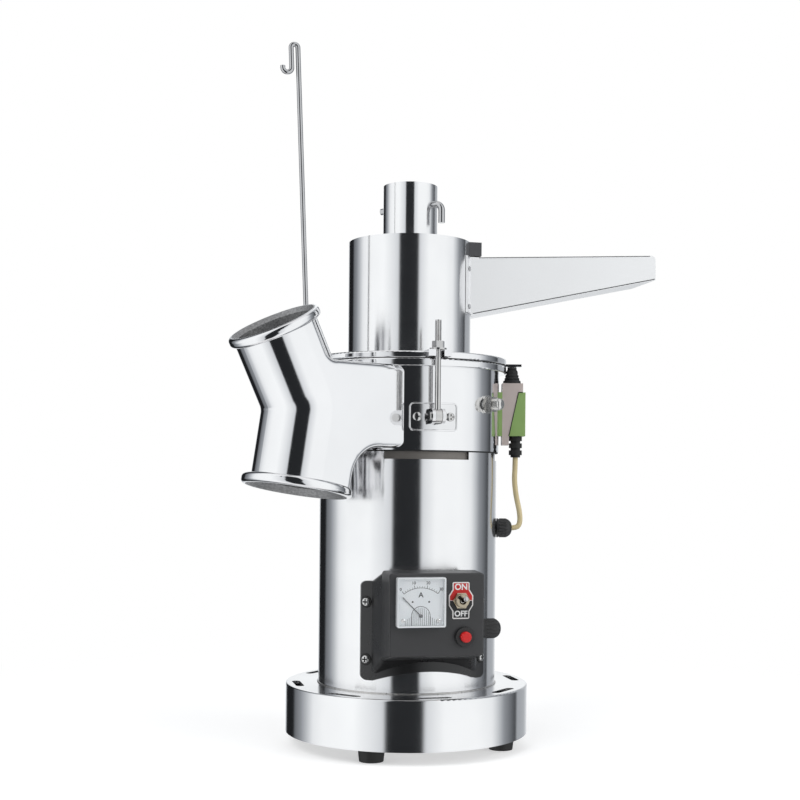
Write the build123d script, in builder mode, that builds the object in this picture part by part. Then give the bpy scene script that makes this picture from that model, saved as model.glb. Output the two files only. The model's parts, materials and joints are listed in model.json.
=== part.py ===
"""Electric spice grinder: an upright hammer mill on a motor column.

All lengths are millimetres. The origin is on the surface that the feet stand on, under the motor
axis. +Z is up and -Y is the front, which the control box faces. Angles round the axis are counted
from the front, positive towards +X.
"""

import os
from math import asin, cos, degrees, pi, radians, sin, tan

from build123d import *

os.makedirs("parts", exist_ok=True)

# General clearances
overrun = 4.0
loose = 0.3
running = 0.05

# Stand
foot_r = 13.0
foot_toe_r = 11.5
foot_h = 13.0
foot_ring_r = 98.0
foot_turn = -32.0
foot_count = 4
base_r = 120.0
base_h = 48.0
base_wall = 3.0
base_edge_r = 1.5
base_floor_t = 3.0
base_eye_r = 56.0
slot_count = 8
slot_ring_r = 109.0
slot_length = 36.0
slot_width = 8.0

# Motor column
tube_r = 88.0
tube_wall = 2.5
tube_h = 228.5
window_h = 8.5
window_w = 82.0
bell_t = 12.0
shaft_r = 8.5
bearing_r = 20.0
bearing_t = 12.0
stator_bore_r = 45.0
winding_inset = 9.2
winding_h = 20.0
winding_room = 37.25
air_gap = 0.7
fan_inset = 13.2
fan_hub_r = 19.0
fan_root_r = 15.0
fan_tip_inset = 3.0
fan_h = 20.0
fan_plate_t = 2.5
fan_blade_t = 2.5
fan_blade_count = 8
fan_lift = 6.0
fan_room = 11.25

# Mill housing
mill_r = 90.0
mill_bore_r = 82.0
mill_h = 85.5
mill_floor_t = 7.0
mill_eye_r = 10.0
flange_r = 97.0
flange_t = 7.5
flange_edge_r = 1.6

# Outlet casting: a duct from the mill housing that forks into an upper and a lower mouth
duct_turn = -63.0
duct_mid = 25.0
duct_half_w = 41.0
duct_low = 1.5
duct_top = 79.5
duct_wall = 6.0
duct_edge_r = 7.0
fork_reach = 141.0
fork_lift = 34.4
fork_bend_r = 4.0
upper_lean = 27.1
upper_arm = 88.0
upper_r = 38.5
upper_side = 39.0
upper_flat = 17.0
upper_flare = 4.0
upper_rim_r = 43.5
upper_blend_r = 12.0
lower_lean = 9.9
lower_arm = 74.5
lower_r = 40.5
lower_side = 43.0
lower_flat = 33.0
lower_flare = 6.5
lower_rim_r = 51.0
lower_blend_r = 32.0
round_gap = 0.1
arm_wall = 3.5
mouth_taper = 45.0
rim_t = 9.0
rim_edge_r = 3.5

# Grinding parts
teeth = 30
tooth_depth = 5.0
tooth_ring_t = 5.0
tooth_ring_h = 26.0
sieve_t = 1.6
sieve_slots = 30
sieve_slot_w = 4.0
sieve_margin = 6.0
disc_r = 58.0
disc_t = 8.0
disc_lift = 10.0
hub_r = 18.0
hub_h = 18.0
hammer_count = 4
hammer_ring_r = 46.0
hammer_pin_r = 4.0
hammer_l = 32.0
hammer_w = 18.0
hammer_t = 8.0
pin_head_r = 6.5
pin_head_t = 2.5
rotor_nut_r = 13.0
rotor_nut_h = 8.0
liner_bolt_turns = (43.0, -137.0)
liner_bolt_lift = 45.0
liner_washer_r = 9.0
liner_washer_t = 2.0
liner_nut_r = 8.0
liner_nut_t = 7.0
liner_end_r = 5.6
liner_end_l = 9.0

# Lid with the feed cylinder and the air tube
lid_t = 6.5
lid_edge_r = 1.6
lid_eye_r = 50.0
cylinder_r = 61.0
cylinder_wall = 2.0
cylinder_h = 115.5
cap_t = 2.0
air_r = 27.0
air_wall = 2.0
air_h = 57.0
lug_half_w = 11.0
lug_reach = 111.0
lug_t = 6.0
lug_slot_w = 8.0

# Feed tray
tray_turn = 90.0
tray_reach = 250.0
tray_w = 62.0
tray_t = 1.5
tray_drop = 15.0
tray_rise = 10.5
tray_deep = 55.5
tray_shallow = 25.0
tray_corner_r = 5.0
tray_tab_w = 8.0
hood_l = 5.0

# Lid hinge at the rear
hinge_reach = 108.0
hinge_lift = 3.0
hinge_r = 6.0
hinge_pin_r = 3.0
hinge_w = 44.0
hinge_leaf_w = 18.0
hinge_leaf_t = 3.0
hinge_lap = 12.0
hinge_head_r = 5.0
hinge_head_t = 2.0

# Swing-bolt latch at the front
latch_turn = 2.0
latch_lift = 31.0
latch_plate_w = 46.0
latch_plate_h = 26.0
latch_plate_t = 2.0
latch_corner_r = 4.0
latch_ear_t = 3.0
latch_ear_r = 7.0
latch_reach = 103.5
latch_pin_r = 2.5
latch_pin_head_r = 4.0
latch_pin_head_t = 1.6
eye_r = 6.5
eye_t = 6.0
bolt_r = 2.8
bolt_l = 89.0
latch_washer_r = 8.0
latch_washer_t = 1.5
latch_nut_r = 6.0
latch_nut_t = 6.5
latch_screw_out = 16.0
latch_screw_r = 4.2
latch_screw_t = 2.2

# Air damper in the air tube
damper_turn = 41.0
damper_drop = 20.5
damper_r = 3.3
damper_plate_r = 24.0
damper_plate_t = 1.5
damper_stub = 9.0
damper_handle = 11.0
damper_bend_r = 7.0
damper_leg = 12.0

# Hook rod for the dust bag
rod_r = 2.4
rod_reach = 107.5
rod_side = 46.0
rod_lean = 2.3
rod_l = 342.0
rod_boss_r = 9.0
rod_boss_h = 16.0
rod_boss_drop = 15.0
hook_gap = 6.5
hook_drop = 29.0
hook_out = 8.6
hook_tip = 6.0
hook_bend_r = 3.2
hook_curl_r = 4.2

# Control box
box_turn = 0.0
box_gap = 6.0
box_depth = 28.0
box_half_w = 45.5
box_low = 94.5
box_high = 177.6
box_edge_r = 3.0
box_wall = 2.5
box_draft = 1.0
box_sill = 6.5
seat_half_w = 60.0
seat_wing_w = 52.5
seat_low = 73.5
seat_high = 166.5
seat_t = 3.0
seat_sink = 18.0
seat_corner_r = 5.0
seat_arch_r = 143.0
seat_arch_h = 9.0
box_screw_out = 55.8
box_screw_rise = 26.9
box_screw_r = 4.0
box_screw_t = 2.4

# Panel instruments, placed on the control box's front face
meter_out = -15.9
meter_up = 150.7
meter_w = 45.2
meter_h = 45.2
meter_t = 7.0
meter_floor_t = 2.0
meter_wall = 1.6
meter_edge_r = 1.5
meter_back_r = 17.0
meter_back_l = 18.0
dial_t = 0.8
lens_t = 1.0
needle_l = 24.0
needle_w = 0.8
needle_t = 0.5
needle_hub_r = 1.6
needle_drop = 12.5
needle_gap = 0.5
needle_rest = 45.0
toggle_out = 22.3
toggle_up = 151.7
toggle_bush_r = 5.8
toggle_bush_l = 8.0
toggle_nut_r = 8.0
toggle_nut_t = 2.4
toggle_body_w = 13.0
toggle_body_l = 18.0
toggle_body_h = 26.0
toggle_ball_r = 3.0
toggle_lever_l = 15.0
toggle_lever_r = 1.7
toggle_tip_r = 2.4
toggle_lean = 12.0
sign_w = 23.0
sign_neck_w = 16.0
sign_h = 33.6
sign_step_h = 10.0
sign_flat_h = 4.5
sign_t = 0.8
reset_out = 25.9
reset_up = 118.7
reset_collar_r = 8.7
reset_collar_t = 4.0
reset_body_r = 7.0
reset_body_l = 16.0
reset_cap_r = 5.0
reset_cap_l = 10.0
reset_proud = 4.0
reset_travel = 2.5

# Cable glands
gland_r = 9.5
gland_l = 15.0
gland_edge_r = 6.0
gland_gap = 0.8
gland_neck_r = 7.0
gland_depth = 5.0
gland_turn = 77.0
gland_up = 214.5
box_gland_up = 121.7
box_gland_inset = 1.5
box_gland_r = 9.5
box_gland_in = 38.0
box_gland_face = 49.5
box_gland_l = 21.0

# Lid safety switch
switch_turn = 77.0
switch_w = 18.0
switch_drop = 16.5
switch_h = 61.5
switch_d = 20.5
switch_foot_d = 6.7
switch_lip = 4.5
shell_t = 3.0
shell_low = 9.0
shell_h = 43.5
shell_d = 23.0
boot_out = 10.0
boot_h = 11.2
boot_rim_h = 3.0
boot_rim_r = 8.8
boot_r = 5.6
plunger_r = 3.0
plunger_cap_r = 4.6
plunger_cap_h = 2.0
plunger_travel = 2.5
tab_w = 12.0
tab_t = 2.5
tab_reach = 112.0
relief_out = 14.0
relief_r = 6.5
relief_waist_r = 4.8
relief_h = 21.0
relief_rings = 3

# Switch cord from the strain relief down to the motor gland
cord_r = 2.6
cord_bend_share = 0.45
cord_route = (
    (99.5, 214.5),
    (108.5, 214.5),
    (111.8, 218.2),
    (112.4, 224.5),
    (111.2, 233.5),
    (108.0, 247.0),
    (106.2, 263.0),
    (107.0, 276.0),
    (107.0, 290.0),
)


def facing(turn, reach, height):
    """Plane on a cylinder's side: x runs round to the right, y is up and z points outwards."""
    out = (sin(radians(turn)), -cos(radians(turn)), 0)
    along = (cos(radians(turn)), sin(radians(turn)), 0)
    origin = (out[0] * reach, out[1] * reach, height)
    return Plane(origin=origin, x_dir=along, z_dir=out)


def level(height):
    """Horizontal plane at a height."""
    return Plane.XY.offset(height)


def save(builder, name):
    """Label a finished piece and write it to its own file."""
    builder.part.label = name
    export_step(builder.part, f"parts/{name}.step")


# Heights of the main seams
base_low = foot_h
base_top = base_low + base_h
mill_low = base_top + tube_h
mill_top = mill_low + mill_h
lid_top = mill_top + lid_t
cap_top = lid_top + cylinder_h
air_top = cap_top + air_h
disc_low = mill_low + mill_floor_t + disc_lift
hammer_low = disc_low + disc_t + loose

# Feet
foot_taper = degrees(asin((foot_r - foot_toe_r) / foot_h))
with BuildPart() as feet:
    with BuildSketch(level(foot_h)):
        with PolarLocations(foot_ring_r, foot_count, start_angle=foot_turn):
            Circle(foot_r)
    extrude(amount=-foot_h, taper=foot_taper)
save(feet, "feet")

# Base plate that closes the base pan from below
with BuildPart() as base_plate:
    with BuildSketch(level(base_low)):
        Circle(base_r - base_wall - loose)
    extrude(amount=base_floor_t)
save(base_plate, "base_plate")

# Base pan: a drum with cooling slots in its top
with BuildPart() as base_pan:
    with BuildSketch(level(base_low)):
        Circle(base_r)
    extrude(amount=base_h)
    fillet(base_pan.edges().group_by(Axis.Z)[-1], base_edge_r)
    with BuildSketch(level(base_low)):
        Circle(base_r - base_wall)
    extrude(amount=base_h - base_wall, mode=Mode.SUBTRACT)
    with BuildSketch(level(base_top)):
        Circle(base_eye_r)
        with PolarLocations(slot_ring_r, slot_count):
            SlotOverall(slot_length, slot_width, rotation=90)
    extrude(amount=-base_wall - overrun, mode=Mode.SUBTRACT)
save(base_pan, "base_pan")

# Motor tube with air windows under the mill housing
with BuildPart() as motor_tube:
    with BuildSketch(level(base_top)):
        Circle(tube_r)
        Circle(tube_r - tube_wall, mode=Mode.SUBTRACT)
    extrude(amount=tube_h)
    with BuildSketch(level(mill_low)):
        Rectangle(window_w, 2 * tube_r + overrun)
        Rectangle(2 * tube_r + overrun, window_w)
    extrude(amount=-window_h, mode=Mode.SUBTRACT)
    with BuildSketch(facing(gland_turn, 0, gland_up)):
        Circle(gland_neck_r + running)
    extrude(amount=tube_r + overrun, mode=Mode.SUBTRACT)
save(motor_tube, "motor_tube")

# Motor end bells, each with a bearing seat
bell_r = tube_r - tube_wall - loose
bell_seats = (("lower_bell", base_top), ("upper_bell", mill_low - bell_t))
for bell_name, bell_low in bell_seats:
    with BuildPart() as bell:
        with BuildSketch(level(bell_low)):
            Circle(bell_r)
            Circle(bearing_r + running, mode=Mode.SUBTRACT)
        extrude(amount=bell_t)
    save(bell, bell_name)

# Ball bearings in the end bells
bearing_seats = (("lower_bearing", base_top), ("upper_bearing", mill_low - bearing_t))
for bearing_name, bearing_low in bearing_seats:
    with BuildPart() as bearing:
        with BuildSketch(level(bearing_low)):
            Circle(bearing_r)
            Circle(shaft_r + running, mode=Mode.SUBTRACT)
        extrude(amount=bearing_t)
    save(bearing, bearing_name)

# Stator with its end windings
fan_low = base_top + bell_t + fan_lift
stator_low = fan_low + fan_h + fan_room + winding_h
stator_h = mill_low - bell_t - winding_room - winding_h - stator_low
winding_r = bell_r - winding_inset
with BuildPart() as stator:
    with BuildSketch(level(stator_low)):
        Circle(bell_r)
        Circle(stator_bore_r, mode=Mode.SUBTRACT)
    extrude(amount=stator_h)
    with BuildSketch(level(stator_low - winding_h)):
        Circle(winding_r)
        Circle(stator_bore_r + winding_h / 2, mode=Mode.SUBTRACT)
    extrude(amount=stator_h + 2 * winding_h)
save(stator, "stator")

# Motor shaft with the rotor core, threaded end up in the mill
shaft_top = hammer_low + hammer_t + hub_h
with BuildPart() as motor_shaft:
    with BuildSketch(level(base_top)):
        Circle(shaft_r)
    extrude(amount=shaft_top - base_top)
    with BuildSketch(level(stator_low)):
        Circle(stator_bore_r - air_gap)
    extrude(amount=stator_h)
save(motor_shaft, "motor_shaft")

# Cooling fan on the shaft
fan_r = bell_r - fan_inset
fan_tip_r = fan_r - fan_tip_inset
with BuildPart() as cooling_fan:
    with BuildSketch(level(fan_low)):
        Circle(fan_r)
    extrude(amount=fan_plate_t)
    with BuildSketch(level(fan_low)):
        Circle(fan_hub_r)
        with PolarLocations((fan_tip_r + fan_root_r) / 2, fan_blade_count):
            Rectangle(fan_tip_r - fan_root_r, fan_blade_t)
    extrude(amount=fan_h)
    with BuildSketch(level(fan_low)):
        Circle(shaft_r + running)
    extrude(amount=fan_h, mode=Mode.SUBTRACT)
save(cooling_fan, "cooling_fan")

# Outlet directions in the upright plane of the duct: x is the reach from the axis and y the height
duct_out = Vector(sin(radians(duct_turn)), -cos(radians(duct_turn)), 0)
duct_side = Vector(-cos(radians(duct_turn)), -sin(radians(duct_turn)), 0)
duct_plane = Plane(origin=(0, 0, mill_low), x_dir=duct_out, z_dir=duct_side).offset(-duct_mid)
fork = Vector(fork_reach, fork_lift)
upper_way = Vector(sin(radians(upper_lean)), cos(radians(upper_lean)))
lower_way = Vector(sin(radians(lower_lean)), -cos(radians(lower_lean)))


def mouth_plane(way, reach):
    """Plane square to an outlet arm, at a distance from the fork."""
    spot = fork + way * reach
    axis = duct_out * way.X + Vector(0, 0, way.Y)
    return Plane(origin=duct_plane.from_local_coords(spot), x_dir=duct_side, z_dir=axis)


def arm_spot(way, up, reach, side):
    """Point in the duct plane along an arm and to the mill's side of its axis; up is 1 or -1."""
    return fork + way * reach + Vector(-way.Y, way.X) * (side * up)


def meet(start, way, other, other_way):
    """Point where two lines in the duct plane meet."""
    gap = other - start
    cross = way.X * other_way.Y - way.Y * other_way.X
    return start + way * ((gap.X * other_way.Y - gap.Y * other_way.X) / cross)


def reach_of(edge):
    """Reach of an edge's middle along the duct."""
    return duct_plane.to_local_coords(edge.center()).X


def on_end(edge):
    """Whether an edge lies on an arm's flat end inside its rim."""
    spot = duct_plane.to_local_coords(edge.center()) - fork
    return any(abs(spot.X * way.X + spot.Y * way.Y - end) < loose for way, end in web_ends)


upper_end = upper_arm - rim_t / 2
lower_end = lower_arm - rim_t / 2
web_ends = ((upper_way, upper_end), (lower_way, lower_end))
along_duct = Vector(1, 0)
upper_corner = meet(arm_spot(upper_way, 1, 0, upper_flat), upper_way, Vector(0, duct_top), along_duct)
lower_corner = meet(arm_spot(lower_way, -1, 0, lower_flat), lower_way, Vector(0, duct_low), along_duct)
outer_corner = meet(
    arm_spot(upper_way, 1, 0, -upper_side), upper_way, arm_spot(lower_way, -1, 0, -lower_side), lower_way
)

# Web of the outlet casting: flat sides, a fully rounded outer edge and blended inner corners
with BuildPart() as outlet_web:
    with BuildSketch(duct_plane.offset(-duct_half_w)) as web_face:
        with BuildLine():
            Polyline(
                (mill_bore_r / 2, duct_low),
                lower_corner,
                arm_spot(lower_way, -1, lower_end, lower_flat),
                arm_spot(lower_way, -1, lower_end, -lower_side),
                outer_corner,
                arm_spot(upper_way, 1, upper_end, -upper_side),
                arm_spot(upper_way, 1, upper_end, upper_flat),
                upper_corner,
                (mill_bore_r / 2, duct_top),
                close=True,
            )
        make_face()
        bends = (
            (lower_corner, lower_blend_r),
            (outer_corner, fork_bend_r),
            (upper_corner, upper_blend_r),
        )
        for spot, bend_r in bends:
            fillet(web_face.vertices().sort_by_distance(spot)[0], bend_r)
    extrude(amount=2 * duct_half_w)
    outer_reach = fork_reach + upper_side / 2
    inner_edges = outlet_web.faces().filter_by(duct_plane).edges().filter_by(lambda e: not on_end(e))
    inner_edges = inner_edges.filter_by(lambda e: mill_bore_r / 2 + loose < reach_of(e) < outer_reach)
    fillet(inner_edges, duct_edge_r)
    outer_edges = outlet_web.faces().filter_by(duct_plane).edges().filter_by(lambda e: not on_end(e))
    outer_edges = outer_edges.filter_by(lambda e: reach_of(e) > outer_reach)
    fillet(outer_edges, duct_half_w - round_gap)

# Round rims of the two mouths
arms = (
    (upper_way, upper_arm, upper_r, upper_rim_r, upper_flare),
    (lower_way, lower_arm, lower_r, lower_rim_r, lower_flare),
)
with BuildPart() as mouth_rims:
    for way, length, arm_r, rim_r, flare in arms:
        with BuildSketch(mouth_plane(way, length - rim_t)):
            Circle(rim_r)
        extrude(amount=rim_t)
    fillet(mouth_rims.edges().filter_by(GeomType.CIRCLE), rim_edge_r)

# Mill housing, one casting with its duct, both outlet mouths and the boss of the hook rod
rod_foot = duct_plane.from_local_coords(Vector(rod_reach, duct_top - rod_boss_drop - rod_boss_h, rod_side))
rod_way = (-sin(radians(rod_lean)), 0, cos(radians(rod_lean)))
with BuildPart() as mill_housing:
    with BuildSketch(level(mill_low)):
        Circle(mill_r)
    extrude(amount=mill_h)
    with BuildSketch(level(mill_top)):
        Circle(flange_r)
    extrude(amount=-flange_t)
    flange_edges = mill_housing.edges().filter_by(lambda e: abs(e.length - 2 * pi * flange_r) < loose)
    fillet(flange_edges, flange_edge_r)
    add(outlet_web.part)
    for way, length, arm_r, rim_r, flare in arms:
        with BuildSketch(mouth_plane(way, 0)):
            Circle(arm_r)
        extrude(amount=length - rim_t / 2)
    add(mouth_rims.part)
    with BuildSketch(Plane(origin=rod_foot, z_dir=(0, 0, 1))):
        Circle(rod_boss_r)
    extrude(amount=rod_boss_h)
    for way, length, arm_r, rim_r, flare in arms:
        with BuildSketch(mouth_plane(way, 0)):
            Circle(arm_r - arm_wall)
        extrude(amount=length + overrun, mode=Mode.SUBTRACT)
        with BuildSketch(mouth_plane(way, length)):
            Circle(arm_r - arm_wall + flare)
        extrude(amount=-flare, taper=mouth_taper, mode=Mode.SUBTRACT)
    with BuildSketch(duct_plane.offset(-duct_half_w + duct_wall)):
        with BuildLine():
            Polyline(
                (mill_bore_r / 2, duct_low + duct_wall),
                (lower_corner.X, duct_low + duct_wall),
                fork,
                (upper_corner.X, duct_top - duct_wall),
                (mill_bore_r / 2, duct_top - duct_wall),
                close=True,
            )
        make_face()
    extrude(amount=2 * (duct_half_w - duct_wall), mode=Mode.SUBTRACT)
    with BuildSketch(level(mill_low + mill_floor_t)):
        Circle(mill_bore_r)
    extrude(amount=mill_h, mode=Mode.SUBTRACT)
    with BuildSketch(level(mill_low)):
        Circle(mill_eye_r)
    extrude(amount=mill_floor_t, mode=Mode.SUBTRACT)
    with BuildSketch(Plane(origin=rod_foot, z_dir=rod_way)):
        Circle(rod_r + running)
    extrude(amount=rod_boss_h + overrun, mode=Mode.SUBTRACT)
save(mill_housing, "mill_housing")

# Sieve ring that stands on the mill floor
ring_r = mill_bore_r - loose
sieve_low = mill_low + mill_floor_t
ring_low = mill_top - loose - tooth_ring_h
sieve_h = ring_low - sieve_low
sieve_planes = [facing(i * 360 / sieve_slots, ring_r, sieve_low + sieve_h / 2) for i in range(sieve_slots)]
with BuildPart() as sieve_ring:
    with BuildSketch(level(sieve_low)):
        Circle(ring_r)
        Circle(ring_r - sieve_t, mode=Mode.SUBTRACT)
    extrude(amount=sieve_h)
    with BuildSketch(*sieve_planes):
        Rectangle(sieve_slot_w, sieve_h - 2 * sieve_margin)
    extrude(amount=overrun, both=True, mode=Mode.SUBTRACT)
save(sieve_ring, "sieve_ring")

# Toothed liner ring on top of the sieve
tooth_root_r = ring_r - tooth_ring_t
tooth_w = pi * tooth_root_r / teeth
with BuildPart() as tooth_ring:
    with BuildSketch(level(ring_low)):
        Circle(ring_r)
        Circle(tooth_root_r, mode=Mode.SUBTRACT)
        with PolarLocations(tooth_root_r, teeth):
            Polygon(
                (tooth_ring_t / 2, -tooth_w / 2),
                (tooth_ring_t / 2, tooth_w / 2),
                (-tooth_depth, tooth_w / 2),
                align=None,
            )
    extrude(amount=tooth_ring_h)
save(tooth_ring, "tooth_ring")

# Hammer disc with its hub on the motor shaft
hub_top = disc_low + disc_t + hub_h
with BuildPart() as hammer_disc:
    with BuildSketch(level(disc_low)):
        Circle(disc_r)
    extrude(amount=disc_t)
    with BuildSketch(level(disc_low)):
        Circle(hub_r)
    extrude(amount=hub_top - disc_low)
    with BuildSketch(level(disc_low)):
        Circle(shaft_r + running)
        with PolarLocations(hammer_ring_r, hammer_count):
            Circle(hammer_pin_r + running)
    extrude(amount=hub_top - disc_low, mode=Mode.SUBTRACT)
save(hammer_disc, "hammer_disc")

# Hammer pins with flat heads
pin_top = hammer_low + hammer_t + loose
with BuildPart() as hammer_pins:
    with BuildSketch(level(disc_low)):
        with PolarLocations(hammer_ring_r, hammer_count):
            Circle(hammer_pin_r)
    extrude(amount=pin_top - disc_low)
    with BuildSketch(level(pin_top)):
        with PolarLocations(hammer_ring_r, hammer_count):
            Circle(pin_head_r)
    extrude(amount=pin_head_t)
save(hammer_pins, "hammer_pins")

# Swinging hammers, each on its own pin
for number in range(hammer_count):
    swing = 2 * pi * number / hammer_count
    hammer_seat = Plane(
        origin=(hammer_ring_r * cos(swing), hammer_ring_r * sin(swing), hammer_low),
        x_dir=(cos(swing), sin(swing), 0),
        z_dir=(0, 0, 1),
    )
    with BuildPart() as hammer:
        with BuildSketch(hammer_seat):
            Circle(hammer_w / 2)
            with Locations(((hammer_l - hammer_w / 2) / 2, 0)):
                Rectangle(hammer_l - hammer_w / 2, hammer_w)
            Circle(hammer_pin_r + running, mode=Mode.SUBTRACT)
        extrude(amount=hammer_t)
    save(hammer, f"hammer_{number + 1}")

# Nut that clamps the hammer disc on the shaft
with BuildPart() as rotor_nut:
    with BuildSketch(level(hub_top)):
        RegularPolygon(rotor_nut_r, 6)
        Circle(shaft_r + running, mode=Mode.SUBTRACT)
    extrude(amount=rotor_nut_h)
save(rotor_nut, "rotor_nut")

# Liner bolts through the mill wall: washer, nut and rounded end
liner_planes = [facing(turn, mill_r, mill_low + liner_bolt_lift) for turn in liner_bolt_turns]
with BuildPart() as liner_bolts:
    with BuildSketch(*liner_planes):
        Circle(liner_washer_r)
    extrude(amount=liner_washer_t)
    with BuildSketch(*[plane.offset(liner_washer_t) for plane in liner_planes]):
        RegularPolygon(liner_nut_r, 6)
    extrude(amount=liner_nut_t)
    with BuildSketch(*[plane.offset(liner_washer_t + liner_nut_t) for plane in liner_planes]):
        Circle(liner_end_r)
    extrude(amount=liner_end_l)
    ends = liner_bolts.faces().filter_by(GeomType.PLANE)
    ends = ends.filter_by(lambda f: abs(f.area - pi * liner_end_r**2) < loose)
    fillet(ends.edges(), liner_end_r / 2)
save(liner_bolts, "liner_bolts")

# Lid plate with the latch lug in front and the tab that holds the safety switch down
lug_plane = facing(latch_turn, 0, lid_top)
with BuildPart() as lid_plate:
    with BuildSketch(level(mill_top)):
        Circle(flange_r)
    extrude(amount=lid_t)
    fillet(lid_plate.edges().filter_by(GeomType.CIRCLE), lid_edge_r)
    with BuildSketch(Plane(origin=(0, 0, lid_top), x_dir=lug_plane.x_dir, z_dir=(0, 0, 1))):
        with Locations((0, -lug_reach / 2)):
            Rectangle(2 * lug_half_w, lug_reach)
    extrude(amount=-lug_t)
    with BuildSketch(Plane(origin=(0, 0, mill_top), x_dir=facing(switch_turn, 0, 0).x_dir, z_dir=(0, 0, 1))):
        with Locations((0, -tab_reach / 2)):
            Rectangle(tab_w, tab_reach)
    extrude(amount=tab_t)
    with BuildSketch(level(mill_top)):
        Circle(lid_eye_r)
    extrude(amount=lid_t, mode=Mode.SUBTRACT)
    slot_end = latch_reach - lug_slot_w / 2
    slot_l = lug_reach - slot_end + overrun
    with BuildSketch(Plane(origin=(0, 0, lid_top), x_dir=lug_plane.x_dir, z_dir=(0, 0, 1))):
        with Locations((0, -slot_end - slot_l / 2)):
            Rectangle(lug_slot_w, slot_l)
    extrude(amount=-lid_t, mode=Mode.SUBTRACT)
save(lid_plate, "lid_plate")

# Feed cylinder with its cap and the inlet behind the tray
tray_top = cap_top - tray_drop
tray_low = tray_top - tray_deep
inlet_w = tray_w - 2 * tray_t
inlet_h = tray_deep - 2 * tray_t
with BuildPart() as feed_cylinder:
    with BuildSketch(level(lid_top)):
        Circle(cylinder_r)
        Circle(cylinder_r - cylinder_wall, mode=Mode.SUBTRACT)
    extrude(amount=cylinder_h)
    with BuildSketch(level(cap_top)):
        Circle(cylinder_r)
        Circle(air_r - air_wall, mode=Mode.SUBTRACT)
    extrude(amount=-cap_t)
    with BuildSketch(facing(tray_turn, 0, tray_low + tray_deep / 2)):
        Rectangle(inlet_w, inlet_h)
    extrude(amount=cylinder_r + overrun, mode=Mode.SUBTRACT)
save(feed_cylinder, "feed_cylinder")

# Air tube on the cap, bored across for the damper shaft
damper_up = air_top - damper_drop
with BuildPart() as air_tube:
    with BuildSketch(level(cap_top)):
        Circle(air_r)
        Circle(air_r - air_wall, mode=Mode.SUBTRACT)
    extrude(amount=air_h)
    with BuildSketch(facing(damper_turn, 0, damper_up)):
        Circle(damper_r + running)
    extrude(amount=air_r + overrun, both=True, mode=Mode.SUBTRACT)
save(air_tube, "air_tube")

# Damper shaft with its bent handle, slotted for the plate
shaft_plane = Plane(
    origin=(0, 0, damper_up),
    x_dir=facing(damper_turn, 0, 0).z_dir,
    z_dir=-facing(damper_turn, 0, 0).x_dir,
)
with BuildPart() as damper_shaft:
    with BuildLine(shaft_plane) as handle_line:
        FilletPolyline(
            (-air_r - damper_stub, 0),
            (air_r + damper_handle, 0),
            (air_r + damper_handle, -damper_bend_r - damper_leg),
            radius=damper_bend_r,
        )
    with BuildSketch(Plane(origin=handle_line.line @ 0, z_dir=handle_line.line % 0)):
        Circle(damper_r)
    sweep(path=handle_line.line)
    with BuildSketch(Plane(origin=(0, 0, damper_up), x_dir=shaft_plane.x_dir, z_dir=(0, 0, 1))):
        Rectangle(2 * (damper_plate_r + loose), 2 * damper_r + overrun)
    extrude(amount=damper_plate_t / 2 + running, both=True, mode=Mode.SUBTRACT)
save(damper_shaft, "damper_shaft")

# Damper plate in the slot of its shaft
with BuildPart() as damper_plate:
    with BuildSketch(level(damper_up)):
        Circle(damper_plate_r)
    extrude(amount=damper_plate_t / 2, both=True)
save(damper_plate, "damper_plate")

# Feed tray: an open channel that slopes down to the inlet
tray_plane = Plane(
    origin=(0, 0, tray_top),
    x_dir=facing(tray_turn, 0, 0).z_dir,
    z_dir=-facing(tray_turn, 0, 0).x_dir,
)
tray_start = cylinder_r / 2
with BuildPart() as feed_tray:
    with BuildSketch(tray_plane):
        with BuildLine():
            Polyline(
                (tray_start, 0),
                (cylinder_r, 0),
                (tray_reach, tray_rise),
                (tray_reach, tray_rise - tray_shallow),
                (cylinder_r, -tray_deep),
                (tray_start, -tray_deep),
                close=True,
            )
        make_face()
    extrude(amount=tray_w / 2, both=True)
    with BuildSketch(tray_plane):
        with BuildLine():
            Polyline(
                (tray_start - overrun, overrun),
                (cylinder_r, overrun),
                (tray_reach + overrun, tray_rise + overrun),
                (tray_reach + overrun, tray_rise - tray_shallow + tray_t),
                (cylinder_r, tray_t - tray_deep),
                (tray_start - overrun, tray_t - tray_deep),
                close=True,
            )
        make_face()
    extrude(amount=tray_w / 2 - tray_t, both=True, mode=Mode.SUBTRACT)
    far_corners = feed_tray.edges().filter_by(lambda e: abs(e.length - tray_t) < running)
    far_corners = far_corners.filter_by(lambda e: e.center().Z > tray_top + tray_rise - loose)
    fillet(far_corners, tray_corner_r)
    with BuildSketch(level(tray_low - overrun)):
        Circle(cylinder_r + loose)
    extrude(amount=tray_deep + tray_rise + 2 * overrun, mode=Mode.SUBTRACT)
    with BuildSketch(level(tray_low)):
        Circle(cylinder_r + loose + tray_t)
        Circle(cylinder_r + loose, mode=Mode.SUBTRACT)
        with Locations((cylinder_r, 0)):
            Rectangle(2 * cylinder_r, tray_w + 2 * tray_tab_w, mode=Mode.INTERSECT)
        with Locations((cylinder_r, 0)):
            Rectangle(2 * cylinder_r, inlet_w, mode=Mode.SUBTRACT)
    extrude(amount=tray_deep)
save(feed_tray, "feed_tray")

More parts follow.
